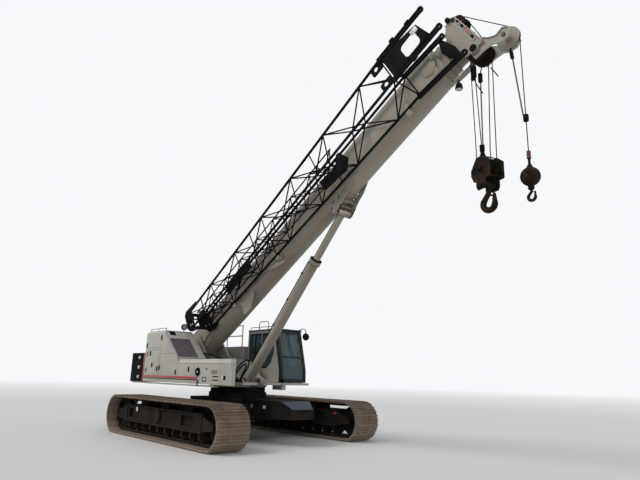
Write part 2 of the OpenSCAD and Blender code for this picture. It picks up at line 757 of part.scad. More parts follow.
module fly_frame() {
    color(black) on_boom() {
        for (c = fly_ring) bar(fly_at(fly_a0, c[0], c[1]), fly_at(fly_a1, c[0], c[1]), chord_d, 8);
        for (i = [0:fly_bays - 1]) for (k = [0:3]) {
            a0 = fly_a0 + 60 + i * (fly_a1 - fly_a0 - 120) / fly_bays;
            a1 = fly_a0 + 60 + (i + 1) * (fly_a1 - fly_a0 - 120) / fly_bays;
            c = fly_ring[k];
            d = fly_ring[(k + 1) % 4];
            flip = (i + k) % 2;
            bar(fly_at(flip ? a0 : a1, c[0], c[1]), fly_at(flip ? a1 : a0, d[0], d[1]), lace_d, 6);
        }
        for (a = [fly_a0 + 60, fly_a1 - 60]) for (k = [0:3]) {
            c = fly_ring[k];
            d = fly_ring[(k + 1) % 4];
            bar(fly_at(a, c[0], c[1]), fly_at(a, d[0], d[1]), lace_d, 6);
        }
        // shoes that rest on the brackets of the boom
        for (a = bracket_a) box(a - bracket_w / 2, a + bracket_w / 2, fly_y(a, 0) - 20, fly_y(a, 0) + 20, shoe_p(a), fly_p(a, 1));
        // cross bars that carry the inner section
        for (a = cradle_a) {
            for (far = [0, 1]) bar(fly_at(a, far, 1), [a, fly_y(a, far), fly_p(a, 0)], lace_d, 6);
            bar([a, fly_y(a, 0), tip_top - tip_h - tip_chord / 2 - lace_d / 2 - seat_gap],
                [a, fly_y(a, 1), tip_top - tip_h - tip_chord / 2 - lace_d / 2 - seat_gap], lace_d, 4);
        }
        for (f = forks) fork_arm(f);
        // web between the outer arms, with a rounded opening
        side_plate(fly_y(fly_a1, 1), 12) difference() {
            polygon([[fly_a1 - 20, fly_p(fly_a1, 0)], [fly_a1 + 900, 220], [fly_a1 + 980, -240], [fly_a1 - 20, fly_p(fly_a1, 1)]]);
            round_rect(fly_a1 + 390, fly_a1 + 790, -210, 140, 90);
        }
        // rounded plates with a hole, on the outer chords
        for (p = [[fly_p(fly_a1, 1), 200], [fly_p(fly_a1, 0) - 230, 245]]) side_plate(fly_y(fly_a1 - 200, 1), 16) difference() {
            round_rect(fly_a1 - 360, fly_a1 - 60, p[0], p[0] + p[1], 50);
            translate([fly_a1 - 228, p[0] + p[1] / 2 + 6]) circle(r = 52, $fn = 48);
        }
        // end plates with a guide sheave at the low end
        for (far = [0, 1]) side_plate(fly_y(fly_a0, far), 20) difference() {
            polygon([[700, 100], [700, 450], [970, 450], [970, -90], [800, -90], [700, -20]]);
            round_rect(760, 910, 10, 130, 40);
        }
        bar([740, fly_y(fly_a0, 1), 300], [740, fly_y(fly_a0, 0), 300], 44, 8);
        translate([740, fly_y(fly_a0, 1) + 70, 300]) across(50) circle(r = 150, $fn = 60);
    }
}

// Arms that pin to the boom head: outer or inner side, low or top chord, then the eye along and above the boom
forks = [[1, 0, fly_a1 + 1140, 380], [1, 1, fly_a1 + 1180, -330], [0, 0, fly_a1 + 990, 310], [0, 1, fly_a1 + 1100, -456]];
fork_eye_r = 32;
fork_w = 50;

// A channel section arm from a chord's end to a rounded eye
module fork_arm(f) {
    y = fly_y(fly_a1, f[0]);
    root = [fly_a1 - 110, fly_p(fly_a1, f[1])];
    eye = [f[2], f[3]];
    v = (eye - root) / norm(eye - root);
    n = [-v[1], v[0]];
    difference() {
        side_plate(y, fork_w) union() {
            polygon([root + 54 * n, eye + 54 * n, eye - 54 * n, root - 54 * n]);
            translate(eye) circle(r = 64, $fn = 60);
        }
        side_plate(y - fork_w / 2, 30) polygon([root + 150 * v + 34 * n, eye - 110 * v + 34 * n,
            eye - 110 * v - 34 * n, root + 150 * v - 34 * n]);
        cross_pin(eye[0], eye[1], fork_eye_r, y - fork_w, y + fork_w);
    }
}

function tip_at(a, far, low) = [a, fly_y0 - 110 - far * tip_w, tip_top - low * tip_h];

module fly_tip() {
    color(black) on_boom() {
        for (c = fly_ring) bar(tip_at(tip_a0, c[0], c[1]), tip_at(tip_a1, c[0], c[1]), tip_chord, 4);
        for (i = [0:tip_bays - 1]) for (k = [0:3]) {
            a0 = tip_a0 + 30 + i * (tip_a1 - tip_a0 - 60) / tip_bays;
            a1 = tip_a0 + 30 + (i + 1) * (tip_a1 - tip_a0 - 60) / tip_bays;
            c = fly_ring[k];
            d = fly_ring[(k + 1) % 4];
            flip = (i + k) % 2;
            bar(tip_at(flip ? a0 : a1, c[0], c[1]), tip_at(flip ? a1 : a0, d[0], d[1]), 26, 6);
        }
        // dark plates stood in the section
        box(2300, 3500, fly_y0 - 110 - tip_w / 2, fly_y0 - 98 - tip_w / 2, tip_top - tip_h, tip_top - 90);
    }
}

module boom_inner(i) {
    color(putty) on_boom() {
        tube(i);
        collar(i);
    }
}

module boom_head() {
    color(putty) on_boom() difference() {
        union() {
            for (y = [-1, 1]) {
                side_plate(y * (head_hw - 12), 24) translate([head_a0, 0]) {
                    polygon([[0, 350], [230, 650], [400, 510], [460, -495], [50, -460], [0, -300]]);
                    translate([head_a - head_a0, head_p]) circle(r = 100, $fn = 60);
                }
                side_plate(y * nose_arm_y, nose_arm_t) translate([head_a0, 0]) polygon([[140, -620], [340, -640],
                    [520, -690], [620, -800], [760, -850], [890, -800], [920, -690], [840, -610], [670, -620],
                    [560, -520], [480, -400], [460, -340], [140, -340]]);
                // packing between the arm and the side plate
                side_plate(y * (nose_arm_y + head_hw) / 2, head_hw - nose_arm_y - 20) translate([head_a0, 0])
                    polygon([[145, -350], [440, -350], [440, -490], [145, -465]]);
            }
            // plates across the head: back, front and the slanted one over the back
            along(head_a0, head_a0 + 40) difference() {
                translate([-head_hw, -280]) square([2 * head_hw, 630]);
                section(3 * step + boom_t);
            }
            along(head_a0 + 400, head_a0 + 414) translate([-head_hw, -200]) square([2 * head_hw, 460]);
            side_plate(0, 2 * head_hw - 2) translate([head_a0, 0]) polygon([[0, 330], [80, 440], [80, 454], [0, 350]]);
        }
        cross_pin(head_a, head_p, head_pin_r + fit, -head_hw - 60, head_hw + 60);
        cross_pin(nose_a, nose_p, nose_pin_r + fit, -head_hw - 60, head_hw + 60);
        cross_pin(top_a, top_p, top_pin_r + fit, -head_hw - 60, head_hw + 60);
    }
}

// Sheave of width w whose rope runs at radius r and whose lips rise above its groove, on a pin of radius pin_r
module sheave_at(a, p, r, y, w, pin_r, lip = 24) {
    floor_r = r - rope_d / 2 - seat_gap;
    rim = floor_r + lip;
    g = rope_d / 2 + 1;
    translate([a, y, p]) rotate([90, 0, 0]) translate([0, 0, -w / 2]) rotate_extrude($fn = 72)
        polygon([[pin_r + fit, 0], [rim, 0], [rim, 6], [floor_r, w / 2 - g], [floor_r, w / 2 + g],
            [rim, w - 6], [rim, w], [pin_r + fit, w]]);
}

module head_sheaves() {
    color(black) on_boom() {
        for (y = [-2:2]) sheave_at(head_a, head_p, sheave_r, y * sheave_pitch, sheave_w, head_pin_r, 34);
        hub(head_a, head_p, head_pin_r);
    }
}

// Spacer tube round a pin, between the nose arms
module hub(a, p, r) {
    half = nose_arm_y - nose_arm_t / 2 - run;
    difference() {
        cross_pin(a, p, r + 16, -half, half);
        cross_pin(a, p, r + fit, -half - 1, half + 1);
    }
}

module head_pin() { color(steel) on_boom() cross_pin(head_a, head_p, head_pin_r, -head_hw - 30, head_hw + 30); }

module nose_pin() {
    half = nose_arm_y + nose_arm_t / 2 + 30;
    color(steel) on_boom() cross_pin(nose_a, nose_p, nose_pin_r, -half, half);
}

module nose_sheave() {
    color(putty) on_boom() {
        sheave_at(nose_a, nose_p, nose_r, 0, 60, nose_pin_r);
        hub(nose_a, nose_p, nose_pin_r);
    }
}

module top_sheave() {
    color(black) on_boom() {
        for (y = [-90, 90]) sheave_at(top_a, top_p, sheave_r - 15, y, sheave_w, top_pin_r - 2 * fit);
        cross_pin(top_a, top_p, top_pin_r, -head_hw - 20, head_hw + 20);
    }
}

module on_lift() { translate([lift_x, 0, lift_z]) rotate([0, -lift_angle, 0]) children(); }

module lift_barrel() {
    color(putty) on_lift() difference() {
        union() {
            translate([80, 0, 0]) rotate([0, 90, 0]) cylinder(r = barrel_r, h = barrel_l - 80, $fn = 72);
            translate([barrel_l - 110, 0, 0]) rotate([0, 90, 0]) cylinder(r = barrel_r + 25, h = 110, $fn = 72);
            across(240) circle(r = 120, $fn = 60);
        }
        cross_pin(0, 0, lift_pin_r + fit, -200, 200);
        translate([320, 0, 0]) rotate([0, 90, 0]) cylinder(r = bore_r, h = barrel_l - 320 - 110, $fn = 60);
        translate([320, 0, 0]) rotate([0, 90, 0]) cylinder(r = rod_r + fit, h = barrel_l, $fn = 60);
    }
}

module lift_piston() {
    color(steel) on_lift() translate([rod_in - 120, 0, 0]) rotate([0, 90, 0]) cylinder(r = bore_r - fit, h = 120, $fn = 60);
}

module lift_rod() {
    color(steel) on_lift() {
        translate([rod_in, 0, 0]) rotate([0, 90, 0]) cylinder(r = rod_r, h = lift_len - rod_in - 60, $fn = 60);
        translate([lift_len, 0, 0]) across(2 * (lift_plate_y - lift_plate_t / 2 - seat_gap)) circle(r = lift_pin_r, $fn = 60);
        translate([lift_len, 0, 0]) across(380) circle(r = 92, $fn = 60);
    }
}

// Where a fall meets the turned block, from its place on the untwisted one
function turned(x, y) = [x * cos(block_turn) - y * sin(block_turn), x * sin(block_turn) + y * cos(block_turn)];

// Straight length of a fall at each end, beside its sheave
fall_end = 300;

module block_ropes() {
    color(rope_grey) for (s = [-1, 1]) for (y = [-1, 1]) {
        top = [block_x + s * sheave_r, y * sheave_pitch];
        low = [block_x, 0] + turned(s * sheave_r, y * sheave_pitch);
        z_top = head_at[1] - fall_end;
        z_low = block_z - block_axle;
        translate([top[0], top[1], z_top]) cylinder(d = rope_d, h = fall_end, $fn = 8);
        translate([low[0], low[1], z_low]) cylinder(d = rope_d, h = fall_end, $fn = 8);
        bar([low[0], low[1], z_low + fall_end - 3], [top[0], top[1], z_top + 3], rope_d, 8);
    }
}

// Rods between the cheeks: along the block, then from the rope sockets down
cheek_rods = [[-80, -184], [80, -184], [240, -318], [-238, -390], [-180, -598], [235, -596]];

module hook_block() {
    color(rust) translate([block_x, 0, block_z]) rotate([0, 0, block_turn]) {
        for (y = [-1, 1]) {
            side_plate(y * cheek_y, cheek_t) {
                polygon([[-95, -170], [95, -170], [255, -300], [255, -600], [235, -620], [-185, -620], [-255, -490], [-255, -377]]);
                polygon([[-125, -600], [125, -600], [125, -740], [85, -800], [-85, -800], [-125, -740]]);
            }
            sheave_at(0, -block_axle, sheave_r, y * sheave_pitch, sheave_w, 40);
        }
        for (rod = cheek_rods) cross_pin(rod[0], rod[1], 10, -cheek_y, cheek_y);
        // sheave axle, trunnion and the boss that the hook turns in
        cross_pin(0, -block_axle, 50, -cheek_y - 45, cheek_y + 45);
        cross_pin(0, -trunnion_drop, 62, -cheek_y - 20, cheek_y + 20);
        translate([0, 0, -trunnion_drop - 90]) cylinder(r = 50, h = 90, $fn = 48);
    }
}

// Hook of mean radius r and section radius t, open towards +x; its bar leaves the curve at the angle e
// and meets the shank, whose end is at a height above the centre of the curve
module hook_at(x, z, r, t, shank, e) {
    foot = [-r * cos(e), r * sin(e)];
    neck = [0, r / sin(e)];
    translate([x, 0, z]) {
        rotate([90, 0, 0]) rotate_extrude(angle = -180 - e, $fn = 64) translate([r, 0]) circle(r = t, $fn = 32);
        // each arm starts a little inside the curve
        arm(foot - 12 * [sin(e), cos(e)], neck, t - 2, t * 0.8);
        arm([r, -12], [r, r * 1.4], t - 2, t * 0.5);
        translate([r, 0, r * 1.4]) sphere(r = t * 0.53, $fn = 32);
        // the shank covers the bar's upper end
        translate([0, 0, neck[1] - t * 0.5]) cylinder(r = t * 0.82, h = shank - neck[1] + t * 0.5 - seat_gap, $fn = 32);
    }
}

module main_hook() { color(rust) hook_at(block_x, block_z - 1060, 115, 57, 1060 - trunnion_drop - 90, 35); }

module ball_rope() {
    color(rope_grey) translate([ball_x, 0, ball_z]) cylinder(d = rope_d, h = ball_drop, $fn = 8);
}

module ball() {
    color(rust) translate([ball_x, 0, ball_z]) {
        // rope socket, link and neck, then the ball and the swivel under it
        translate([0, 0, -133]) cylinder(r = 30, h = 133, $fn = 40);
        box(-12, 12, -26, 26, -240, -125);
        translate([0, 0, -300]) cylinder(r1 = 62, r2 = 28, h = 68, $fn = 40);
        translate([0, 0, -ball_mid]) sphere(r = ball_r, $fn = 64);
        translate([0, 0, -swivel_mid]) cylinder(r = 32, h = swivel_mid - ball_mid, $fn = 40);
        translate([0, 0, -swivel_mid]) sphere(r = swivel_r, $fn = 48);
    }
}

module ball_hook() { color(rust) hook_at(ball_x, ball_z - ball_hook_mid, 62, 27, ball_hook_mid - swivel_mid - swivel_r, 40); }

carbody();
slew_ring();
track_frame(-1);  // frame_right
track_frame(1);  // frame_left
track(-1);  // track_right
track(1);  // track_left
drive(-1);  // drive_right
drive(1);  // drive_left
idler(-1);  // idler_right
idler(1);  // idler_left
rollers(-1);  // rollers_right
rollers(1);  // rollers_left
bed();
decks();
counterweight();
house();
grille();
engine();
low_box();
left_hood();
house_door();
cab();
cab_glass();
cab_door();
door_glass();
seat();
console();
winch_frame();
drum(0);  // main_drum
drum(1);  // aux_drum
rails();
mirrors();
foot_pin();
boom_outer();
fly_brackets();
fly_frame();
fly_tip();
boom_inner(1);  // boom_inner_1
boom_inner(2);  // boom_inner_2
boom_inner(3);  // boom_inner_3
boom_head();
head_sheaves();
head_pin();
nose_sheave();
nose_pin();
top_sheave();
lift_pin();
lift_barrel();
lift_piston();
lift_rod();
block_ropes();
hook_block();
main_hook();
ball_rope();
ball();
ball_hook();
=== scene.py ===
"""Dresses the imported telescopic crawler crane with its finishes, trim and rigging, and sets the camera."""

from __future__ import annotations

import json
import logging
import math
from dataclasses import dataclass
from enum import Enum
from typing import Sequence

import bmesh
import bpy
from mathutils import Matrix, Vector


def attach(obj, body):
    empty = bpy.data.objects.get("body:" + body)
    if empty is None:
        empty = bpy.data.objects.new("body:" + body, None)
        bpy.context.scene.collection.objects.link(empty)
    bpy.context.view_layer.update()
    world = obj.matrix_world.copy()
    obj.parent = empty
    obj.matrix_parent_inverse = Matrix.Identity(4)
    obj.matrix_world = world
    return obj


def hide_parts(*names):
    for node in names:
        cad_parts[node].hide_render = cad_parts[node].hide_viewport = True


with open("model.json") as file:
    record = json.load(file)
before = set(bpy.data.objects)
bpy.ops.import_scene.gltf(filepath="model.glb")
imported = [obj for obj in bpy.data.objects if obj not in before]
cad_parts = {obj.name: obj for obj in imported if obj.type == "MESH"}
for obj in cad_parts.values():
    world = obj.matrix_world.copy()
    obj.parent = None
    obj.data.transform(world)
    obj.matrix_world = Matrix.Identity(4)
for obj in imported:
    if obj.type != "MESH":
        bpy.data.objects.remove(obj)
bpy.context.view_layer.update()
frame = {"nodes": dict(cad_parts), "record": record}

LOG = logging.getLogger("crane")
Pair = tuple[float, float]
Triple = tuple[float, float, float]
Colour = tuple[float, float, float]
Point = Sequence[float]
Socket = bpy.types.NodeSocket

BUMP_DEPTH = 0.004
PATCH_DETAIL = 9.0
GRAIN_DETAIL = 3.0
LOWEST_IOR = 1.1
IOR_RISE = 0.8
MERGE_DIST = 1e-6
SHARP_DEG = 35.0
BALL_SHARE = 1.02
LINK_STEP = 0.8


class Lane(Enum):
    """Which side of the machine a paired piece is on."""

    RIGHT = -1
    LEFT = 1


class Wiring:
    """The nodes of one material or of the world, with short ways to add those that are used here."""

    def __init__(self, owner: bpy.types.Material | bpy.types.World) -> None:
        """Turns on the nodes of their owner."""
        owner.use_nodes = True
        self.tree = owner.node_tree

    def add(self, kind: str) -> bpy.types.Node:
        """Adds a node of one of Blender's types."""
        return self.tree.nodes.new(kind)

    def feed(self, source: Socket | Colour, into: Socket) -> None:
        """Gives an input its value.

        Args:
            source: An output to link, or a plain colour.
            into: The input.
        """
        if isinstance(source, bpy.types.NodeSocket):
            self.tree.links.new(source, into)
        else:
            into.default_value = (*source, 1.0)

    def noise(self, vector: Socket, scale: float, detail: float) -> Socket:
        """Adds a noise texture.

        Args:
            vector: Where on the piece it is read.
            scale: Its marks per metre.
            detail: How far it goes into finer marks.

        Returns:
            Its value.
        """
        node = self.add("ShaderNodeTexNoise")
        node.inputs["Scale"].default_value = scale
        node.inputs["Detail"].default_value = detail
        self.feed(vector, node.inputs["Vector"])
        return node.outputs["Fac"]

    def span(self, value: Socket, source: Pair, target: Pair) -> Socket:
        """Maps a value from one range to another and keeps it inside.

        Args:
            value: The value.
            source: Its lowest and highest number.
            target: What those two become.

        Returns:
            The mapped value.
        """
        node = self.add("ShaderNodeMapRange")
        for name, number in zip(("From Min", "From Max", "To Min", "To Max"), (*source, *target)):
            node.inputs[name].default_value = number
        self.feed(value, node.inputs["Value"])
        return node.outputs["Result"]

    def combine(self, operation: str, first: Socket, second: Socket) -> Socket:
        """Joins two values by arithmetic.

        Args:
            operation: The operation of Blender's Math node.
            first: One value.
            second: The other value.

        Returns:
            The result.
        """
        node = self.add("ShaderNodeMath")
        node.operation = operation
        self.feed(first, node.inputs[0])
        self.feed(second, node.inputs[1])
        return node.outputs[0]

    def blend(self, share: Socket, first: Socket | Colour, second: Socket | Colour) -> Socket:
        """Mixes two colours.

        Args:
            share: Share of the second colour.
            first: The colour at a share of 0.
            second: The colour at a share of 1.

        Returns:
            The mixed colour.
        """
        node = self.add("ShaderNodeMix")
        node.data_type = "RGBA"
        self.feed(share, node.inputs["Factor"])
        self.feed(first, node.inputs["A"])
        self.feed(second, node.inputs["B"])
        return node.outputs["Result"]

    def surface(self, share: Socket, first: bpy.types.Node, second: bpy.types.Node, output: str) -> None:
        """Mixes two shaders and sends them to the output.

        Args:
            share: Share of the second shader.
            first: Node of the shader at a share of 0.
            second: Node of the shader at a share of 1.
            output: Name of the output node.
        """
        node = self.add("ShaderNodeMixShader")
        self.feed(share, node.inputs["Fac"])
        self.feed(first.outputs[0], node.inputs[1])
        self.feed(second.outputs[0], node.inputs[2])
        self.feed(node.outputs["Shader"], self.tree.nodes[output].inputs["Surface"])


@dataclass(frozen=True)
class Finish:
    """A painted or metal surface with patches of dust, rust or wear over its own colour.

    patch and grain are marks per metre. stretch pulls the marks out along x, y and z: below 1 is longer.
    dust_top is the height in metres from which the ground's dust stays thin, and at 0 there is none.
    """

    name: str
    base: Colour
    worn: Colour
    share: float = 0.35
    roughness: float = 0.5
    metallic: float = 0.0
    gloss: float = 0.5
    patch: float = 1.6
    grain: float = 70.0
    relief: float = 0.12
    stretch: Triple = (1.0, 1.0, 1.0)
    dust_top: float = 0.0
    dust: Colour = (0.42, 0.34, 0.26)

    def material(self) -> bpy.types.Material:
        """Builds the node material once and gives the same one after that.

        Returns:
            The Blender material of this finish.
        """
        found = bpy.data.materials.get(self.name)
        if found:
            return found
        made = bpy.data.materials.new(self.name)
        wiring = Wiring(made)
        shader = wiring.tree.nodes["Principled BSDF"]
        shader.inputs["Metallic"].default_value = self.metallic
        shader.inputs["Specular IOR Level"].default_value = self.gloss
        shader.inputs["IOR"].default_value = LOWEST_IOR + IOR_RISE * self.gloss
        place = wiring.add("ShaderNodeTexCoord").outputs["Object"]
        mapping = wiring.add("ShaderNodeMapping")
        mapping.inputs["Scale"].default_value = self.stretch
        wiring.feed(place, mapping.inputs["Vector"])
        patches = wiring.noise(mapping.outputs["Vector"], self.patch, PATCH_DETAIL)
        grains = wiring.noise(mapping.outputs["Vector"], self.grain, GRAIN_DETAIL)
        share = wiring.span(patches, (0.62 - 0.4 * self.share, 0.78 - 0.2 * self.share), (0.0, 1.0))
        fleck = wiring.span(grains, (0.35, 0.75), (0.35, 1.0))
        colour = wiring.blend(wiring.combine("MULTIPLY", share, fleck), self.base, self.worn)
        if self.dust_top > 0.0:
            colour = self.dusted(wiring, place, grains, colour)
        wiring.feed(colour, shader.inputs["Base Color"])
        rough = wiring.span(patches, (0.2, 0.8), (self.roughness - 0.08, self.roughness + 0.12))
        wiring.feed(rough, shader.inputs["Roughness"])
        bump = wiring.add("ShaderNodeBump")
        bump.inputs["Strength"].default_value = self.relief
        bump.inputs["Distance"].default_value = BUMP_DEPTH
        wiring.feed(grains, bump.inputs["Height"])
        wiring.feed(bump.outputs["Normal"], shader.inputs["Normal"])
        return made

    def dusted(self, wiring: Wiring, place: Socket, grains: Socket, under: Socket) -> Socket:
        """Lays dust over a colour, thickest at the ground and thin from dust_top up.

        Args:
            wiring: The material's nodes.
            place: Where on the machine a point is.
            grains: A fine noise that breaks the dust up.
            under: The colour below the dust.

        Returns:
            The dusted colour.
        """
        split = wiring.add("ShaderNodeSeparateXYZ")
        wiring.feed(place, split.inputs[0])
        height = wiring.span(split.outputs["Z"], (0.0, self.dust_top), (0.85, 0.15))
        broken = wiring.combine("MULTIPLY", height, wiring.span(grains, (0.3, 0.7), (0.2, 1.0)))
        return wiring.blend(broken, under, self.dust)


@dataclass(frozen=True)
class TintedGlass:
    """Cab glass that shows the sky in its gloss and darkens what is behind it."""

    name: str = "cab_glazing"
    tint: Colour = (0.17, 0.255, 0.27)
    clear: float = 0.75
    ior: float = 1.35

    def material(self) -> bpy.types.Material:
        """Builds the glass with a faint film of dust in its roughness.

        Returns:
            The Blender material of the glass.
        """
        found = bpy.data.materials.get(self.name)
        if found:
            return found
        made = bpy.data.materials.new(self.name)
        wiring = Wiring(made)
        shader = wiring.tree.nodes["Principled BSDF"]
        wiring.feed(self.tint, shader.inputs["Base Color"])
        shader.inputs["Transmission Weight"].default_value = self.clear
        shader.inputs["IOR"].default_value = self.ior
        film = wiring.noise(wiring.add("ShaderNodeTexCoord").outputs["Object"], 4.0, 5.0)
        wiring.feed(wiring.span(film, (0.3, 0.7), (0.02, 0.12)), shader.inputs["Roughness"])
        return made


PUTTY = Finish("putty_coat", (0.42, 0.40, 0.35), (0.30, 0.27, 0.225), share=0.28, roughness=0.42,
               gloss=0.4, patch=1.1, relief=0.04)
# The boom's putty is the house's putty painted darker and warmer: painted shade and painted warm light
# bounced up from the ground. Its worn patches, stretched along the boom, are grime.
PUTTY_BOOM_SHADED = Finish("putty_boom_shaded", (0.315, 0.280, 0.225), (0.205, 0.165, 0.125), share=0.4,
                    roughness=0.45, gloss=0.35, patch=0.8, relief=0.04, stretch=(0.45, 1.0, 0.8))
PUTTY_RAIL = Finish("putty_rail_coat", (0.37, 0.34, 0.28), (0.25, 0.21, 0.165), share=0.4,
                    roughness=0.45, gloss=0.35, relief=0.04)
BLACK = Finish("black_coat", (0.010, 0.010, 0.011), (0.028, 0.024, 0.022), share=0.4, roughness=0.62,
               gloss=0.07, patch=2.2, relief=0.06)
BLACK_LOW = Finish("black_paint_dusty", (0.009, 0.009, 0.009), (0.040, 0.032, 0.025), share=0.5,
                   roughness=0.7, gloss=0.08, patch=3.0, relief=0.2, dust_top=1.0,
                   dust=(0.052, 0.042, 0.033))
TRACK_IRON = Finish("track_iron", (0.105, 0.070, 0.049), (0.29, 0.215, 0.155), share=0.6, roughness=0.78,
                    metallic=0.2, gloss=0.25, patch=5.0, grain=55.0, relief=0.45, dust_top=1.1)
WORN_IRON = Finish("rusty_iron", (0.014, 0.012, 0.010), (0.070, 0.038, 0.023), share=0.6, roughness=0.75,
                   gloss=0.08, patch=6.0, relief=0.4)
STEEL = Finish("dark_steel", (0.070, 0.064, 0.058), (0.045, 0.035, 0.028), share=0.4, metallic=0.4,
               patch=4.0)
ROD = Finish("rod_surface", (0.34, 0.30, 0.25), (0.24, 0.20, 0.16), share=0.3, roughness=0.3,
             metallic=0.8, patch=3.0, relief=0.01)
ROPE = Finish("steel_rope", (0.010, 0.010, 0.010), (0.035, 0.030, 0.025), share=0.45, roughness=0.7,
              gloss=0.08, patch=20.0, grain=160.0, relief=0.7, stretch=(1.0, 1.0, 0.35))
PLASTIC = Finish("dull_plastic", (0.010, 0.010, 0.011), (0.028, 0.026, 0.025), share=0.3, roughness=0.6,
                 gloss=0.1, patch=6.0, relief=0.1)
GRILLE = Finish("grille_mesh", (0.150, 0.125, 0.135), (0.25, 0.21, 0.20), share=0.4, roughness=0.6,
                gloss=0.3, patch=7.0)
ENGINE = Finish("engine_cast", (0.06, 0.06, 0.065), (0.035, 0.03, 0.025), share=0.5, roughness=0.6,
                metallic=0.3, gloss=0.3, patch=5.0)
RED = Finish("red_stripe", (0.42, 0.030, 0.022), (0.26, 0.045, 0.032), share=0.3, roughness=0.4,
             patch=5.0, relief=0.02)
STRIPE_BLACK = Finish("black_stripe", (0.012, 0.011, 0.011), (0.04, 0.035, 0.03), share=0.3,
                      roughness=0.45, gloss=0.2, patch=5.0, relief=0.02)
LAMP = Finish("pale_plate", (0.50, 0.51, 0.50), (0.36, 0.35, 0.33), share=0.25, roughness=0.3,
              patch=8.0, relief=0.02)
TRIM_BLACK = Finish("gloss_black_trim", (0.012, 0.015, 0.018), (0.04, 0.04, 0.04), share=0.3,
                    roughness=0.3, gloss=0.35, patch=5.0, relief=0.02)
BOX_BLUE = Finish("blue_black_paint", (0.022, 0.034, 0.055), (0.03, 0.032, 0.035), share=0.3,
                  roughness=0.4, gloss=0.3, patch=4.0, relief=0.03)
SLEEVE_RED = Finish("sleeve_red", (0.090, 0.010, 0.010), (0.05, 0.012, 0.010), share=0.4, patch=12.0,
                    relief=0.05)
GLASS = TintedGlass()

FINISH_OF = {
    PUTTY: ("bed", "decks", "house", "low_box", "left_hood", "house_door", "cab", "cab_door", "rails"),
    PUTTY_RAIL: ("fly_brackets",),
    PUTTY_BOOM_SHADED: ("boom_outer", "boom_inner_1", "boom_inner_2", "boom_inner_3", "boom_head",
                 "nose_sheave", "lift_barrel"),
    BLACK: ("counterweight", "fly_frame", "fly_tip", "winch_frame"),
    BLACK_LOW: ("carbody", "slew_ring", "frame_right", "frame_left", "drive_right", "drive_left",
                "idler_right", "idler_left", "rollers_right", "rollers_left"),
    TRACK_IRON: ("track_right", "track_left"),
    WORN_IRON: ("hook_block", "main_hook", "ball", "ball_hook", "head_sheaves", "top_sheave"),
    STEEL: ("foot_pin", "head_pin", "nose_pin", "lift_pin", "lift_piston", "main_drum", "aux_drum"),
    ROD: ("lift_rod",),
    ROPE: ("block_ropes", "ball_rope"),
    GLASS: ("cab_glass", "door_glass"),
    PLASTIC: ("seat", "console", "mirrors"),
    GRILLE: ("grille",),
    ENGINE: ("engine",),
}


def joint_of(name: str) -> dict:
    """Gives a joint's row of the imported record."""
    return next(j for j in frame["record"]["behaviour"]["joints"] if j["name"] == name)


FOOT = Vector(joint_of("boom_raise")["pos_m"])
AHEAD = Vector(joint_of("telescope_1")["axis"])
LUFF = math.atan2(AHEAD.z, AHEAD.x)
BOOM = Matrix.Translation(FOOT) @ Matrix.Rotation(-LUFF, 4, "Y")


def on_boom(along: float, across: float, above: float) -> Vector:
    """Gives the place of a point measured from the foot pin: along the boom, to the left and above it."""
    return BOOM @ Vector((along, across, above))


def upright(y: float) -> Matrix:
    """Gives a frame whose x is forward, whose y is up and whose z points to the left from the plane at y."""
    return Matrix(((1, 0, 0, 0), (0, 0, 1, y), (0, 1, 0, 0), (0, 0, 0, 1)))


def facing(place: Point, direction: Point) -> Matrix:
    """Gives a frame at a place whose z axis points in a direction."""
    return Matrix.Translation(place) @ Vector(direction).to_track_quat("Z", "Y").to_matrix().to_4x4()


def ring(low: Pair, high: Pair) -> list[Pair]:
    """Gives the corners of a rectangle, going round it."""
    return [low, (high[0], low[1]), high, (low[0], high[1])]


def bent(points: Sequence[Point], reach: float = 0.08, steps: int = 4) -> list[Vector]:
    """Rounds the inner corners of a line of points.

    Args:
        points: Corners of the line.
        reach: How far from a corner its bend begins.
        steps: Pieces of each bend.

    Returns:
        The points of the rounded line.
    """
    corners = [Vector(p) for p in points]
    line = [corners[0]]
    for before, corner, after in zip(corners, corners[1:], corners[2:]):
        start = corner + (before - corner).normalized() * min(reach, (before - corner).length / 2)
        end = corner + (after - corner).normalized() * min(reach, (after - corner).length / 2)
        for i in range(steps + 1):
            t = i / steps
            line.append(start.lerp(corner, t).lerp(corner.lerp(end, t), t))
    return line + [corners[-1]]


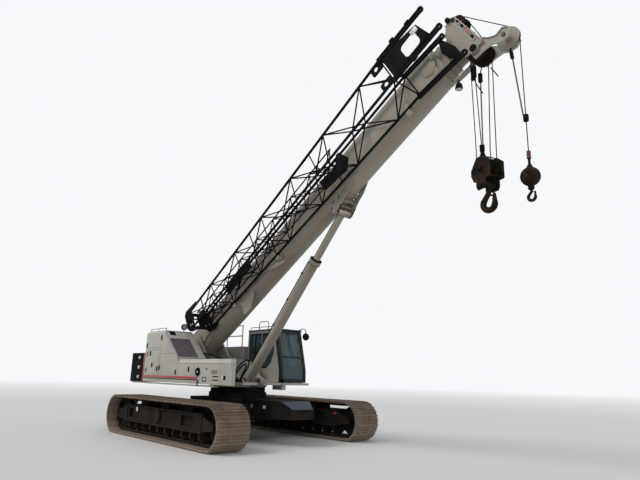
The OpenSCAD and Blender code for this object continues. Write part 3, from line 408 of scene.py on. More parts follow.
class Workpiece:
    """One new piece: a bmesh that takes simple forms and is then closed as an object on a body."""

    def __init__(self, name: str) -> None:
        """Starts an empty piece."""
        self.name = name
        self.bm = bmesh.new()

    def block(self, low: Point, high: Point, edge: float = 0.0, place: Matrix | None = None) -> Workpiece:
        """Adds a block with bevelled edges.

        Args:
            low: Lowest corner in metres.
            high: Highest corner in metres.
            edge: Width of the bevel, none at 0.
            place: Where the block's own frame lies.

        Returns:
            This piece.
        """
        low, high = Vector(low), Vector(high)
        verts = bmesh.ops.create_cube(self.bm, size=1.0)["verts"]
        size = Matrix.Diagonal((*(high - low), 1.0))
        middle = Matrix.Translation((low + high) / 2)
        bmesh.ops.transform(self.bm, matrix=(place or Matrix()) @ middle @ size, verts=verts)
        self.soften(verts, edge)
        return self

    def soften(self, verts: Sequence[bmesh.types.BMVert], edge: float) -> None:
        """Bevels edges.

        Args:
            verts: The vertices whose edges are all bevelled.
            edge: Width of the bevel, none at 0.
        """
        if edge <= 0.0:
            return
        edges = list(dict.fromkeys(e for v in verts for e in v.link_edges))
        bmesh.ops.bevel(self.bm, geom=edges, offset=edge, offset_type="OFFSET", affect="EDGES", segments=2,
                        profile=0.5, clamp_overlap=True, material=-1)

    def rod(self, start: Point, end: Point, radius: float, sides: int = 16) -> Workpiece:
        """Adds a round or sided bar between two points.

        Args:
            start: One end in metres.
            end: The other end in metres.
            radius: Its radius.
            sides: Number of sides.

        Returns:
            This piece.
        """
        start, end = Vector(start), Vector(end)
        line = end - start
        turn = line.to_track_quat("Z", "Y").to_matrix().to_4x4()
        bmesh.ops.create_cone(self.bm, cap_ends=True, cap_tris=False, segments=sides, radius1=radius,
                              radius2=radius, depth=line.length,
                              matrix=Matrix.Translation((start + end) / 2) @ turn)
        return self

    def lathe(self, profile: Sequence[Pair], place: Matrix, steps: int = 40) -> Workpiece:
        """Turns a closed profile of (radius, height) round the z axis of a frame.

        Args:
            profile: Corners of the profile, going round it.
            place: Frame whose z axis is the axis of the turned form.
            steps: Steps of the full turn.

        Returns:
            This piece.
        """
        verts = [self.bm.verts.new(place @ Vector((r, 0.0, h))) for r, h in profile]
        edges = [self.bm.edges.new((a, b)) for a, b in zip(verts, verts[1:] + verts[:1])]
        bmesh.ops.spin(self.bm, geom=verts + edges, cent=place.translation,
                       axis=place.to_3x3() @ Vector((0, 0, 1)), dvec=(0, 0, 0), angle=2 * math.pi,
                       steps=steps, use_merge=True, use_duplicate=False)
        return self

    def plate(self, outline: Sequence[Point], depth: float, place: Matrix, edge: float = 0.0) -> Workpiece:
        """Adds a flat plate: an outline in a frame's x and y, made thick along its z.

        Args:
            outline: Corners of the outline in metres.
            depth: Thickness, towards the frame's z.
            place: The plate's frame.
            edge: Width of the bevel, none at 0.

        Returns:
            This piece.
        """
        verts = [self.bm.verts.new(place @ Vector((p[0], p[1], 0.0))) for p in outline]
        face = self.bm.faces.new(verts)
        grown = bmesh.ops.extrude_face_region(self.bm, geom=[face])["geom"]
        far = [g for g in grown if isinstance(g, bmesh.types.BMVert)]
        bmesh.ops.translate(self.bm, verts=far, vec=place.to_3x3() @ Vector((0.0, 0.0, depth)))
        self.soften(verts + far, edge)
        return self

    def strip(
        self, points: Sequence[Point], width: float, depth: float, place: Matrix, closed: bool = False
    ) -> Workpiece:
        """Lays flat bars along a line of points in a frame's x and y, standing out along its z.

        Args:
            points: Corners of the line in metres.
            width: Width of the bars.
            depth: Height of the bars over the frame's plane.
            place: The frame.
            closed: Whether the line goes back to its first point.

        Returns:
            This piece.
        """
        ends = list(zip(points, points[1:]))
        if closed:
            ends.append((points[-1], points[0]))
        for start, end in ends:
            line = Vector((end[0] - start[0], end[1] - start[1]))
            turn = Matrix.Rotation(math.atan2(line.y, line.x), 4, "Z")
            lie = place @ Matrix.Translation((start[0], start[1], 0.0)) @ turn
            half = width / 2
            self.block((-half, -half, 0.0), (line.length + half, half, depth), 0.0, lie)
        return self

    def pipe(self, points: Sequence[Point], radius: float, sides: int = 10) -> Workpiece:
        """Lays a round pipe along a line of points, with a ball in each corner.

        Args:
            points: Points of its centre line in metres.
            radius: Its radius.
            sides: Its number of sides.

        Returns:
            This piece.
        """
        for start, end in zip(points, points[1:]):
            self.rod(start, end, radius, sides)
        for corner in points[1:-1]:
            bmesh.ops.create_icosphere(self.bm, subdivisions=1, radius=radius * BALL_SHARE,
                                       matrix=Matrix.Translation(corner))
        return self

    def chain(self, start: Point, end: Point, link: float = 0.032, thick: float = 0.007) -> Workpiece:
        """Hangs a chain between two points: links that lie across each other in turn.

        Args:
            start: Its upper end in metres.
            end: Its lower end in metres.
            link: Length of a link.
            thick: Thickness of a link.

        Returns:
            This piece.
        """
        start, end = Vector(start), Vector(end)
        count = max(2, round((end - start).length / (link * LINK_STEP)))
        along = facing((0, 0, 0), end - start)
        outline = ring((-link / 3, -link / 2), (link / 3, link / 2))
        for i in range(count):
            middle = start.lerp(end, (i + 0.5) / count)
            lie = Matrix.Translation(middle) @ along @ Matrix.Rotation(math.radians(90 * (i % 2)), 4, "Z")
            self.strip(outline, thick, thick, lie @ upright(-thick / 2), closed=True)
        return self

    def copies(self, places: Sequence[Matrix]) -> Workpiece:
        """Repeats all that the piece holds so far and drops the original.

        Args:
            places: Frames of the copies.

        Returns:
            This piece.
        """
        first = list(self.bm.verts) + list(self.bm.edges) + list(self.bm.faces)
        for place in places:
            made = bmesh.ops.duplicate(self.bm, geom=first)["geom"]
            verts = [g for g in made if isinstance(g, bmesh.types.BMVert)]
            bmesh.ops.transform(self.bm, matrix=place, verts=verts)
        old = [g for g in first if isinstance(g, bmesh.types.BMVert)]
        bmesh.ops.delete(self.bm, geom=old, context="VERTS")
        return self

    def close(
        self, body: str, finish: Finish | TintedGlass, slot: str, stands_for: Sequence[str] = ()
    ) -> bpy.types.Object:
        """Turns the piece into an object that rides on a body.

        Args:
            body: The CAD body that it moves with.
            finish: Its surface.
            slot: The record's material slot; not used.
            stands_for: CAD nodes that it replaces.

        Returns:
            The new object.
        """
        bmesh.ops.remove_doubles(self.bm, verts=self.bm.verts, dist=MERGE_DIST)
        bmesh.ops.recalc_face_normals(self.bm, faces=self.bm.faces)
        mesh = bpy.data.meshes.new(self.name)
        self.bm.to_mesh(mesh)
        self.bm.free()
        mesh.shade_smooth()
        mesh.set_sharp_from_angle(angle=math.radians(SHARP_DEG))
        mesh.materials.append(finish.material())
        made = bpy.data.objects.new(self.name, mesh)
        bpy.context.scene.collection.objects.link(made)
        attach(made, body)
        if stands_for:
            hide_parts(*stands_for)
        LOG.info("%s: %d faces on %s", self.name, len(mesh.polygons), body)
        return made


@dataclass
class CrawlerTrack:
    """The shoes and chain of one track, laid round the same loop as the CAD track.

    A shoe's frame has x along the loop, y to the left and z outwards from where link and shoe meet.
    """

    lane: Lane
    length: float = 5.610
    height: float = 0.960
    width: float = 0.810
    centre_x: float = 0.070
    gauge: float = 3.950
    shoes: int = 56
    gap: float = 0.010
    shoe_t: float = 0.022
    shoe_edge: float = 0.003
    lip_x: Pair = (-0.012, 0.028)
    lip_z: Pair = (-0.009, 0.004)
    grouser: float = 0.028
    grouser_foot: float = 0.017
    grouser_crest: float = 0.008
    grouser_shares: Triple = (-0.3, 0.0, 0.3)
    bolt_r: float = 0.013
    bolt_h: float = 0.012
    bolt_x: float = 0.032
    bolt_y: float = 0.030
    link_h: float = 0.078
    link_y: float = 0.095
    link_t: float = 0.040
    link_lap: float = 0.020
    link_edge: float = 0.004
    pin_r: float = 0.022
    pin_inset: float = 0.035

    @property
    def turn_r(self) -> float:
        """Radius of the line between links and shoes at the two ends."""
        return self.height / 2 - self.shoe_t - self.grouser

    @property
    def half_run(self) -> float:
        """Half the distance between the two end wheels."""
        return self.length / 2 - self.height / 2

    @property
    def pitch(self) -> float:
        """Length of one shoe along the loop."""
        return (4 * self.half_run + 2 * math.pi * self.turn_r) / self.shoes

    def place_at(self, along: float) -> Matrix:
        """Gives the frame of a shoe.

        Args:
            along: Distance along the loop from the front of the lower run.

        Returns:
            The frame at that place.
        """
        run, arc = 2 * self.half_run, math.pi * self.turn_r
        r = self.turn_r
        if along < run:
            x, z, turn = self.half_run - along, -r, math.pi
        elif along < run + arc:
            a = (along - run) / r
            x, z, turn = -self.half_run - r * math.sin(a), -r * math.cos(a), math.pi + a
        elif along < 2 * run + arc:
            x, z, turn = -self.half_run + (along - run - arc), r, 0.0
        else:
            a = (along - 2 * run - arc) / r
            x, z, turn = self.half_run + r * math.sin(a), r * math.cos(a), a
        spot = Vector((self.centre_x + x, self.lane.value * self.gauge / 2, self.height / 2 + z))
        return Matrix.Translation(spot) @ Matrix.Rotation(turn, 4, "Y")

    def places(self) -> list[Matrix]:
        """Gives the frames of all shoes."""
        return [self.place_at((i + 0.5) * self.pitch) for i in range(self.shoes)]

    def shoe(self) -> Workpiece:
        """Builds one shoe with its lip, three grousers and eight bolt heads, and lays it round the loop.

        Returns:
            The piece that holds all the shoes.
        """
        piece = Workpiece(f"shoes_{self.lane.name.lower()}")
        half = self.pitch / 2 - self.gap / 2
        wide = self.width / 2
        piece.block((-half, -wide, 0.0), (half, wide, self.shoe_t), self.shoe_edge)
        piece.block((half + self.lip_x[0], -wide, self.lip_z[0]), (half + self.lip_x[1], wide, self.lip_z[1]))
        foot, crest, top = self.grouser_foot, self.grouser_crest, self.shoe_t + self.grouser
        for share in self.grouser_shares:
            x = share * self.pitch
            outline = [(x - foot, self.shoe_t), (x - crest, top), (x + crest, top), (x + foot, self.shoe_t)]
            piece.plate(outline, self.width, upright(-wide))
        for x in (-self.bolt_x, self.bolt_x):
            for link in (-self.link_y, self.link_y):
                for y in (link - self.bolt_y, link + self.bolt_y):
                    piece.rod((x, y, self.shoe_t), (x, y, self.shoe_t + self.bolt_h), self.bolt_r, 6)
        return piece.copies(self.places())

    def chain(self) -> Workpiece:
        """Builds one pair of links with its pin and lays it round the loop.

        Returns:
            The piece that holds the whole chain.
        """
        piece = Workpiece(f"chain_{self.lane.name.lower()}")
        half, lap, low = self.pitch / 2, self.link_lap, -self.link_h
        top = half - 1.5 * lap
        outline = [(-half - lap, low + lap), (-half + lap, low), (half - lap, low), (half + lap, low + lap),
                   (half + lap, -lap), (top, 0.0), (-top, 0.0), (-half - lap, -lap)]
        for link in (-self.link_y, self.link_y):
            piece.plate(outline, self.link_t, upright(link - self.link_t / 2), self.link_edge)
        reach = self.link_y + self.pin_inset
        piece.rod((-half, -reach, -self.pin_inset), (-half, reach, -self.pin_inset), self.pin_r, 12)
        return piece.copies(self.places())

    def build(self) -> None:
        """Makes the shoes and chain of this track."""
        node = f"track_{self.lane.name.lower()}"
        self.shoe().close("undercarriage", TRACK_IRON, "dusty_iron", [node])
        self.chain().close("undercarriage", BLACK_LOW, "dusty_iron")


@dataclass
class HouseTrim:
    """Stripes, latches, seams, fan and lamps of the engine house and of the low box ahead of it.

    Places on the side are metres forward and up. Those on the slanted panel are metres down it and left.
    """

    side_y: float = -1.496
    rear_x: float = -2.600
    stripe_front: float = 0.430
    stripe_top: float = 1.482
    stripe_h: float = 0.050
    stripe_t: float = 0.003
    stripe_gap: float = 0.012
    line_h: float = 0.024
    ledge_x: Pair = (-3.40, 1.16)
    ledge_z: Pair = (1.255, 1.288)
    seam_w: float = 0.006
    seams_at: tuple[tuple[Pair, Pair], ...] = (
        ((-2.60, 2.235), (-1.66, 2.235)),
        ((-1.66, 1.49), (-1.66, 2.30)),
        ((-1.66, 2.06), (-0.90, 2.06)),
        ((-1.69, 2.36), (-1.69, 2.60)),
        ((-0.78, 1.80), (1.62, 1.80)),
        ((0.20, 1.49), (0.20, 1.80)),
        ((-0.62, 1.49), (-0.62, 1.80)),
        ((1.45, 1.38), (1.45, 1.78)),
    )
    latches: tuple[Pair, ...] = ((-1.66, 1.69), (-0.72, 1.58), (-0.04, 1.66), (-2.54, 2.30), (-1.66, 2.50))
    door_latches: tuple[Pair, ...] = ((-2.12, 1.76), (-1.79, 1.66), (-2.27, 2.08))
    slant_top: Pair = (-1.615, 2.707)
    slant_foot: Pair = (-0.685, 1.907)
    hatch: tuple[Pair, Pair] = ((0.05, -1.42), (1.17, -0.66))
    grille: tuple[Pair, Pair] = ((0.335, -1.445), (1.155, -0.795))
    vent_bars: int = 5
    vent_pitch: float = 0.030
    fan_at: Pair = (0.43, 1.60)
    fan_blades: int = 8
    slot_x: Pair = (1.110, 1.370)
    slots_z: tuple[Pair, Pair] = ((1.402, 1.430), (1.482, 1.510))
    louvre_x: Pair = (1.050, 1.340)
    louvre_z: float = 1.556
    louvre_pitch: float = 0.034
    filler_at: Pair = (0.84, 1.67)
    roof_lamp_at: Triple = (-1.625, -0.85, 2.837)
    roof_lamp_r: float = 0.070
    rail_y: float = 0.66
    rail_posts: Triple = (-2.50, -1.70, -0.90)
    rail_heights: Pair = (2.96, 2.66)
    rail_foot: float = 2.348
    rail_r: float = 0.016

    @property
    def slant(self) -> Matrix:
        """Frame on the slanted panel.

        Returns:
            The frame, with x down the slope, y to the left and z outwards.
        """
        fall = self.slant_top[1] - self.slant_foot[1]
        slope = math.atan2(fall, self.slant_foot[0] - self.slant_top[0])
        top = Matrix.Translation((self.slant_top[0], 0.0, self.slant_top[1]))
        return top @ Matrix.Rotation(slope, 4, "Y")

    def side_bar(self, name: str, top: float, height: float, finish: Finish, slot: str) -> None:
        """Lays one stripe along the side.

        Args:
            name: Name of the piece.
            top: Height of its upper edge.
            height: How high it is.
            finish: Its colour.
            slot: The record's material slot.
        """
        piece = Workpiece(name)
        piece.block((self.rear_x, self.side_y - self.stripe_t, top - height),
                    (self.stripe_front, self.side_y, top), 0.001)
        piece.close("upper", finish, slot)

    def stripes(self) -> None:
        """Lays the red stripe, the thin black line under it and the ledge below the deck."""
        self.side_bar("side_stripe_red", self.stripe_top, self.stripe_h, RED, "putty_paint")
        low = self.stripe_top - self.stripe_h - self.stripe_gap
        self.side_bar("side_stripe_black", low, self.line_h, STRIPE_BLACK, "black_plastic")
        ledge = Workpiece("deck_ledge")
        ledge.block((self.ledge_x[0], self.side_y + 0.02, self.ledge_z[0]),
                    (self.ledge_x[1], self.side_y + 0.16, self.ledge_z[1]), 0.004)
        ledge.close("upper", PUTTY, "putty_paint")

    def latch_set(self, name: str, places: Sequence[Pair], body: str) -> None:
        """Sets black latches into the panels of one body.

        Args:
            name: Name of the piece.
            places: Their places forward and up.
            body: The body that they ride on.
        """
        piece = Workpiece(name)
        y = self.side_y
        for x, z in places:
            piece.block((x - 0.030, y - 0.010, z - 0.065), (x + 0.030, y, z + 0.065), 0.008)
            piece.block((x - 0.015, y - 0.020, z - 0.04), (x + 0.015, y - 0.008, z + 0.015), 0.005)
        piece.close(body, PLASTIC, "black_plastic")

    def seams(self) -> None:
        """Draws the joints between the panels as thin dark fillings."""
        piece = Workpiece("panel_seams")
        side = upright(self.side_y - 0.001)
        for line in self.seams_at:
            piece.strip(line, self.seam_w, 0.004, side)
        piece.strip(ring(*self.hatch), self.seam_w, 0.003, self.slant, closed=True)
        piece.close("upper", STRIPE_BLACK, "black_plastic")

    def grille_rim(self) -> None:
        """Frames the slanted grille and sets the small vent above it."""
        rim = Workpiece("grille_rim")
        rim.strip(ring(*self.grille), 0.030, 0.010, self.slant, closed=True)
        rim.close("upper", PUTTY, "putty_paint")
        vent = Workpiece("slant_vent")
        vent.block((0.04, -1.35, 0.0), (0.20, -1.17, 0.006), 0.002, self.slant)
        for i in range(self.vent_bars):
            x = 0.055 + i * self.vent_pitch
            vent.block((x, -1.335, 0.004), (x + 0.012, -1.185, 0.014), 0.0, self.slant)
        vent.close("upper", PLASTIC, "black_plastic")

    def fan(self) -> None:
        """Builds the round fan that stands in the side of the low box."""
        out = facing((self.fan_at[0], self.side_y + 0.010, self.fan_at[1]), (0, -1, 0))
        rim = Workpiece("side_fan")
        rim.lathe([(0.0, 0.0), (0.104, 0.0), (0.104, 0.030), (0.096, 0.036), (0.084, 0.030), (0.080, 0.012),
                   (0.0, 0.012)], out, 48)
        for turn in range(self.fan_blades):
            arm = out @ Matrix.Rotation(math.radians(360 / self.fan_blades * turn), 4, "Z")
            rim.block((0.020, -0.004, 0.010), (0.086, 0.004, 0.028), 0.0, arm)
        rim.close("upper", PLASTIC, "black_plastic")
        boss = Workpiece("side_fan_boss")
        boss.lathe([(0.0, 0.010), (0.026, 0.010), (0.024, 0.034), (0.0, 0.038)], out, 24)
        boss.close("upper", LAMP, "putty_paint")

    def small_fittings(self) -> None:
        """Sets blank plates, dark slots, louvre, filler and short pipe on the low box."""
        y = self.side_y
        pale = Workpiece("blank_plates")
        for low, high in (((1.505, 1.425), (1.575, 1.525)), ((0.690, 1.395), (0.810, 1.465))):
            pale.block((*low, 0.0), (*high, 0.003), 0.001, upright(y - 0.003))
        pale.close("upper", LAMP, "putty_paint")
        dark = Workpiece("dark_fittings")
        dark.strip(ring((0.672, 1.385), (0.828, 1.475)), 0.014, 0.010, upright(y - 0.008), closed=True)
        dark.block((1.590, y - 0.004, 1.43), (1.680, y, 1.52), 0.001)
        for low, high in self.slots_z:
            dark.block((self.slot_x[0], y + 0.020, low), (self.slot_x[1], y + 0.029, high))
        for i in range(3):
            low = self.louvre_z + i * self.louvre_pitch
            dark.block((self.louvre_x[0], y + 0.020, low), (self.louvre_x[1], y + 0.027, low + 0.020))
        x, z = self.filler_at
        dark.rod((x, y + 0.002, z), (x, y - 0.014, z), 0.020)
        hose = [(0.47, y - 0.016, 1.40), (0.47, y - 0.03, 1.33), (0.46, y - 0.016, 1.26)]
        dark.pipe(bent(hose), 0.014)
        dark.close("upper", PLASTIC, "black_plastic")

    def roof_lamp(self) -> None:
        """Puts the lens and the rim on the round lamp over the slanted panel."""
        out = facing(self.roof_lamp_at, (1, 0, 0))
        r = self.roof_lamp_r
        rim = Workpiece("roof_lamp_rim")
        rim.lathe([(r, 0.0), (r + 0.017, 0.0), (r + 0.017, 0.010), (r, 0.010)], out, 40)
        rim.close("upper", PLASTIC, "black_plastic")
        lens = Workpiece("roof_lamp_lens")
        lens.lathe([(0.0, 0.0), (r, 0.0), (r - 0.001, 0.004), (0.040, 0.009), (0.0, 0.011)], out, 40)
        lens.close("upper", LAMP, "tinted_glass")

    def handrails(self) -> None:
        """Stands the handrail on the left hood."""
        piece = Workpiece("hood_rail")
        y, r = self.rail_y, self.rail_r
        for x in self.rail_posts:
            piece.rod((x, y, self.rail_foot), (x, y, max(self.rail_heights)), r, 10)
        for z in self.rail_heights:
            piece.rod((self.rail_posts[0] - 0.02, y, z), (self.rail_posts[-1] + 0.02, y, z), r, 10)
        piece.close("upper", PUTTY, "putty_paint")

    def build(self) -> None:
        """Makes all the trim of the house."""
        self.stripes()
        self.latch_set("side_latches", self.latches, "upper")
        self.latch_set("door_latches", self.door_latches, "house_door")
        self.seams()
        self.grille_rim()
        self.fan()
        self.small_fittings()
        self.roof_lamp()
        self.handrails()


@dataclass
class CabTrim:
    """Black frames, split screen, roof rail, mirror and wiper of the cab.

    knee and head are where the screen bends and ends, forward and up, as the windows' corners are given.
    """

    right_y: float = 0.640
    left_y: float = 1.490
    knee: Pair = (1.019, 1.699)
    head: Pair = (0.745, 2.786)
    low_z: float = 1.379
    stand: float = 0.006
    post_w: float = 0.075
    cheek: float = 0.10
    sill_top: float = 1.475
    split_z: Pair = (2.028, 2.062)
    header_low: float = 2.700
    window_low: float = 1.950
    window_top: float = 2.676
    rim_w: float = 0.024
    roof_x: Pair = (-0.575, 0.800)
    roof_z: Pair = (2.765, 2.800)
    rail_x: Pair = (-0.52, 0.74)
    rail_z: Pair = (2.79, 2.872)
    rail_posts: Pair = (-0.10, 0.32)
    hoop_x: Pair = (-0.28, 0.16)
    hoop_y: float = 0.80
    hoop_top: float = 3.04
    mirror_at: Triple = (0.930, 1.53, 2.62)
    mirror_way: Triple = (1.0, -0.25, 0.0)

    def front_x(self, z: float) -> float:
        """Gives how far forward the cab's front is.

        Args:
            z: The height.

        Returns:
            The front's x at that height.
        """
        if z <= self.knee[1]:
            return self.knee[0]
        share = (z - self.knee[1]) / (self.head[1] - self.knee[1])
        return self.knee[0] + share * (self.head[0] - self.knee[0])

    def on_screen(self, y: float, z: float, off: float) -> Vector:
        """Gives a point that stands a little ahead of the screen."""
        return Vector((self.front_x(z) + off, y, z))

    def band(self, low: float, high: float) -> list[Pair]:
        """Gives the outline of a strip that covers the front between two heights.

        Args:
            low: Its lower edge.
            high: Its upper edge.

        Returns:
            Its corners, forward and up.
        """
        heights = sorted({low, high, min(max(self.knee[1], low), high)})
        near = [(self.front_x(z) - 0.002, z) for z in heights]
        far = [(self.front_x(z) + self.stand, z) for z in reversed(heights)]
        return near + far

    def front_frame(self) -> None:
        """Frames the windscreen with posts, a sill, a head and the bar that splits it."""
        piece = Workpiece("screen_frame")
        for y in (self.right_y, self.left_y - self.post_w):
            piece.plate(self.band(self.low_z, self.head[1]), self.post_w, upright(y))
        for low, high in ((self.low_z, self.sill_top), self.split_z, (self.header_low, self.head[1])):
            piece.plate(self.band(low, high), self.left_y - self.right_y, upright(self.right_y))
        front = [(self.front_x(self.low_z), self.low_z), self.knee, self.head]
        cheek = front + [(x - self.cheek, z) for x, z in reversed(front)]
        piece.plate(cheek, self.stand, upright(self.right_y - self.stand + 0.001))
        piece.plate(cheek, self.stand, upright(self.left_y - 0.001))
        piece.close("upper", TRIM_BLACK, "black_plastic")

    def window_rims(self) -> None:
        """Lays the rubber round the side windows, with a bar that splits the rear one."""
        piece = Workpiece("window_rims")
        plane = upright(self.right_y - 0.004)
        low, top = self.window_low, self.window_top
        front = [(0.130, 1.750), (0.330, 1.750), (0.520, 1.880), (0.640, 2.150), (0.640, top), (0.130, top)]
        for outline in (ring((-0.470, low), (0.060, top)), front):
            piece.strip(outline, self.rim_w, 0.006, plane, closed=True)
        piece.strip([(-0.200, low), (-0.200, top)], 0.034, 0.024, plane)
        piece.close("upper", TRIM_BLACK, "black_plastic")

    @staticmethod
    def arch(run: Pair, y: float, foot: float, top: float) -> list[Triple]:
        """Gives the corners of a bar that stands on two feet.

        Args:
            run: Rear and front foot.
            y: Its plane.
            foot: Height of its feet.
            top: Height of its top.

        Returns:
            Its four corners.
        """
        return [(run[0], y, foot), (run[0], y, top), (run[1], y, top), (run[1], y, foot)]

    def roof(self) -> None:
        """Builds the black roof edge, the roof rail and the hoop."""
        edge = Workpiece("cab_roof_edge")
        edge.block((self.roof_x[0], self.right_y - 0.010, self.roof_z[0]),
                   (self.roof_x[1], self.left_y + 0.010, self.roof_z[1]), 0.010)
        edge.close("upper", TRIM_BLACK, "black_plastic")
        rail = Workpiece("cab_roof_rail")
        y = self.right_y + 0.04
        foot, top = self.rail_z
        rail.pipe(bent(self.arch(self.rail_x, y, foot, top), 0.05), 0.011)
        for x in self.rail_posts:
            rail.rod((x, y, foot), (x, y, top), 0.010, 8)
        rail.pipe(bent(self.arch(self.hoop_x, self.hoop_y, foot, self.hoop_top), 0.10), 0.013)
        rail.close("upper", PUTTY, "putty_paint")

    def mirror(self) -> None:
        """Hangs the round mirror on its bent tube ahead of the cab's far corner."""
        piece = Workpiece("cab_mirror")
        tube = [(0.70, 1.45, 2.795), (0.84, 1.49, 2.850), (0.925, 1.53, 2.815), (0.925, 1.53, 2.62)]
        piece.pipe(bent(tube, 0.06), 0.011)
        seat = facing(self.mirror_at, self.mirror_way)
        piece.lathe([(0.0, 0.0), (0.100, 0.0), (0.100, 0.020), (0.070, 0.050), (0.0, 0.058)], seat, 36)
        piece.close("upper", PLASTIC, "black_plastic")
        glass = Workpiece("cab_mirror_glass")
        glass.lathe([(0.0, -0.004), (0.092, -0.004), (0.092, 0.001), (0.0, 0.001)], seat, 36)
        glass.close("upper", ROD, "machined_steel")

    def wiper(self) -> None:
        """Lays the wiper's arm and blade on the screen."""
        piece = Workpiece("wiper")
        piece.rod(self.on_screen(1.10, 2.05, 0.014), self.on_screen(1.00, 2.55, 0.014), 0.006, 8)
        piece.rod(self.on_screen(0.99, 2.22, 0.010), self.on_screen(1.01, 2.68, 0.010), 0.008, 8)
        piece.close("upper", PLASTIC, "black_plastic")

    def deck_lamp(self) -> None:
        """Hangs the pale box under the deck ahead of the slewing ring."""
        piece = Workpiece("deck_lamp")
        piece.block((0.66, 0.64, 1.19), (1.08, 0.76, 1.306), 0.008)
        piece.close("upper", LAMP, "putty_paint")

    def build(self) -> None:
        """Makes all the trim of the cab."""
        self.front_frame()
        self.window_rims()
        self.roof()
        self.mirror()
        self.wiper()
        self.deck_lamp()


@dataclass
class WeightTrim:
    """Lifting caps, slab edges and the red strip on the counterweight."""

    side_y: float = 1.436
    rear_x: float = -3.600
    front_x: float = -2.62
    low_z: float = 1.290
    slab: float = 0.272
    slabs: int = 3
    gap_h: float = 0.008
    cap_x: float = -3.05
    strip_x: Pair = (-2.80, -2.735)
    strip_z: Pair = (0.03, 0.80)

    def build(self) -> None:
        """Makes the trim on both sides of the counterweight."""
        caps = Workpiece("weight_caps")
        gaps = Workpiece("weight_gaps")
        profile = [(0.0, 0.0), (0.050, 0.0), (0.050, 0.024), (0.040, 0.034), (0.0, 0.034)]
        for out in (-1, 1):
            y = out * self.side_y
            near, far = sorted((y, y + out * 0.003))
            for i in range(self.slabs):
                z = self.low_z + (i + 0.5) * self.slab
                top = z + self.slab / 2
                caps.lathe(profile, facing((self.cap_x, y, z), (0, out, 0)), 28)
                gaps.block((self.rear_x + 0.02, near, top - self.gap_h), (self.front_x, far, top))
        caps.close("upper", LAMP, "putty_paint")
        gaps.close("upper", STRIPE_BLACK, "black_plastic")
        red = Workpiece("weight_strip")
        red.block((self.strip_x[0], -self.side_y - 0.006, self.low_z + self.strip_z[0]),
                  (self.strip_x[1], -self.side_y, self.low_z + self.strip_z[1]), 0.002)
        red.close("upper", RED, "putty_paint")


@dataclass
class BedTrim:
    """Pipes that run over the bed and to the foot of the lift cylinder. The long ones are hoses that are also
    painted shade, darkening the bay under the boom.

    Routes are given forward and up. The pipes stand out from the right bed plate.
    """

    plate_y: float = -0.385
    loop_r: float = 0.019
    loops: tuple[tuple[float, tuple[Pair, ...]], ...] = (
        (0.020, ((0.36, 1.38), (0.44, 1.64), (0.66, 1.83), (0.90, 1.93), (1.03, 1.89), (0.99, 1.74),
                 (0.82, 1.58), (0.64, 1.38))),
        (0.060, ((0.42, 1.38), (0.52, 1.58), (0.76, 1.76), (0.95, 1.84), (0.96, 1.73), (0.80, 1.57),
                 (0.70, 1.38))),
    )
    long_r: float = 0.017
    long_gap: float = 0.038
    long_count: int = 3
    long_route: tuple[Pair, ...] = ((-1.40, 2.12), (-1.00, 2.10), (-0.25, 1.97), (0.08, 1.90), (0.28, 1.66),
                                    (0.30, 1.38))
    clamp_x: Pair = (0.24, 0.76)
    clamp_z: Pair = (1.36, 1.42)

    def build(self) -> None:
        """Bends the black pipes over the right bed plate and clamps their lower ends; the three long pipes
        also darken the bay under the boom as painted shade.
        """
        piece = Workpiece("bed_pipes_and_bay_shade")
        for off, route in self.loops:
            line = [(x, self.plate_y - off, z) for x, z in route]
            piece.pipe(bent(line, 0.08, 3), self.loop_r)
        # The long pipes are real hoses, laid here also as painted shade that darkens the bay under the boom.
        for i in range(self.long_count):
            y = self.plate_y - 0.022 - self.long_gap * i
            piece.pipe(bent([(x, y, z) for x, z in self.long_route], 0.10, 4), self.long_r)
        piece.block((self.clamp_x[0], self.plate_y - 0.125, self.clamp_z[0]),
                    (self.clamp_x[1], self.plate_y - 0.005, self.clamp_z[1]), 0.01)
        piece.close("upper", PLASTIC, "black_plastic")


@dataclass
class LowerTrim:
    """Plates and reflectors of the undercarriage."""

    box_top: tuple[Pair, Pair] = ((2.40, 0.980), (2.70, 0.800))
    box_half: Pair = (0.425, 0.305)
    cover_t: float = 0.006
    cover_inset: float = 0.01
    label_xs: Pair = (1.18, 1.72)

    def build(self) -> None:
        """Makes the sloped cover, the reflector and the blank plates."""
        (x0, z0), (x1, z1) = self.box_top
        end = math.hypot(x1 - x0, z1 - z0) - self.cover_inset
        slope = Matrix.Translation((x0, 0, z0)) @ Matrix.Rotation(math.atan2(z0 - z1, x1 - x0), 4, "Y")
        wide, narrow = self.box_half
        outline = [(self.cover_inset, -wide), (end, -narrow), (end, narrow), (self.cover_inset, wide)]
        cover = Workpiece("weight_box_cover")
        cover.plate(outline, self.cover_t, slope)
        cover.close("undercarriage", BOX_BLUE, "black_paint")
        pale = Workpiece("blank_labels")
        for x in self.label_xs:
            pale.block((x, -0.436, 0.79), (x + 0.11, -0.430, 0.86), 0.001)
        pale.block((-1.20, -2.241, 0.60), (-1.10, -2.235, 0.70), 0.001)
        pale.close("undercarriage", LAMP, "putty_paint")
        red = Workpiece("red_reflector")
        red.block((1.90, 1.708, 0.62), (2.02, 1.715, 0.67), 0.002)
        red.close("undercarriage", RED, "putty_paint")


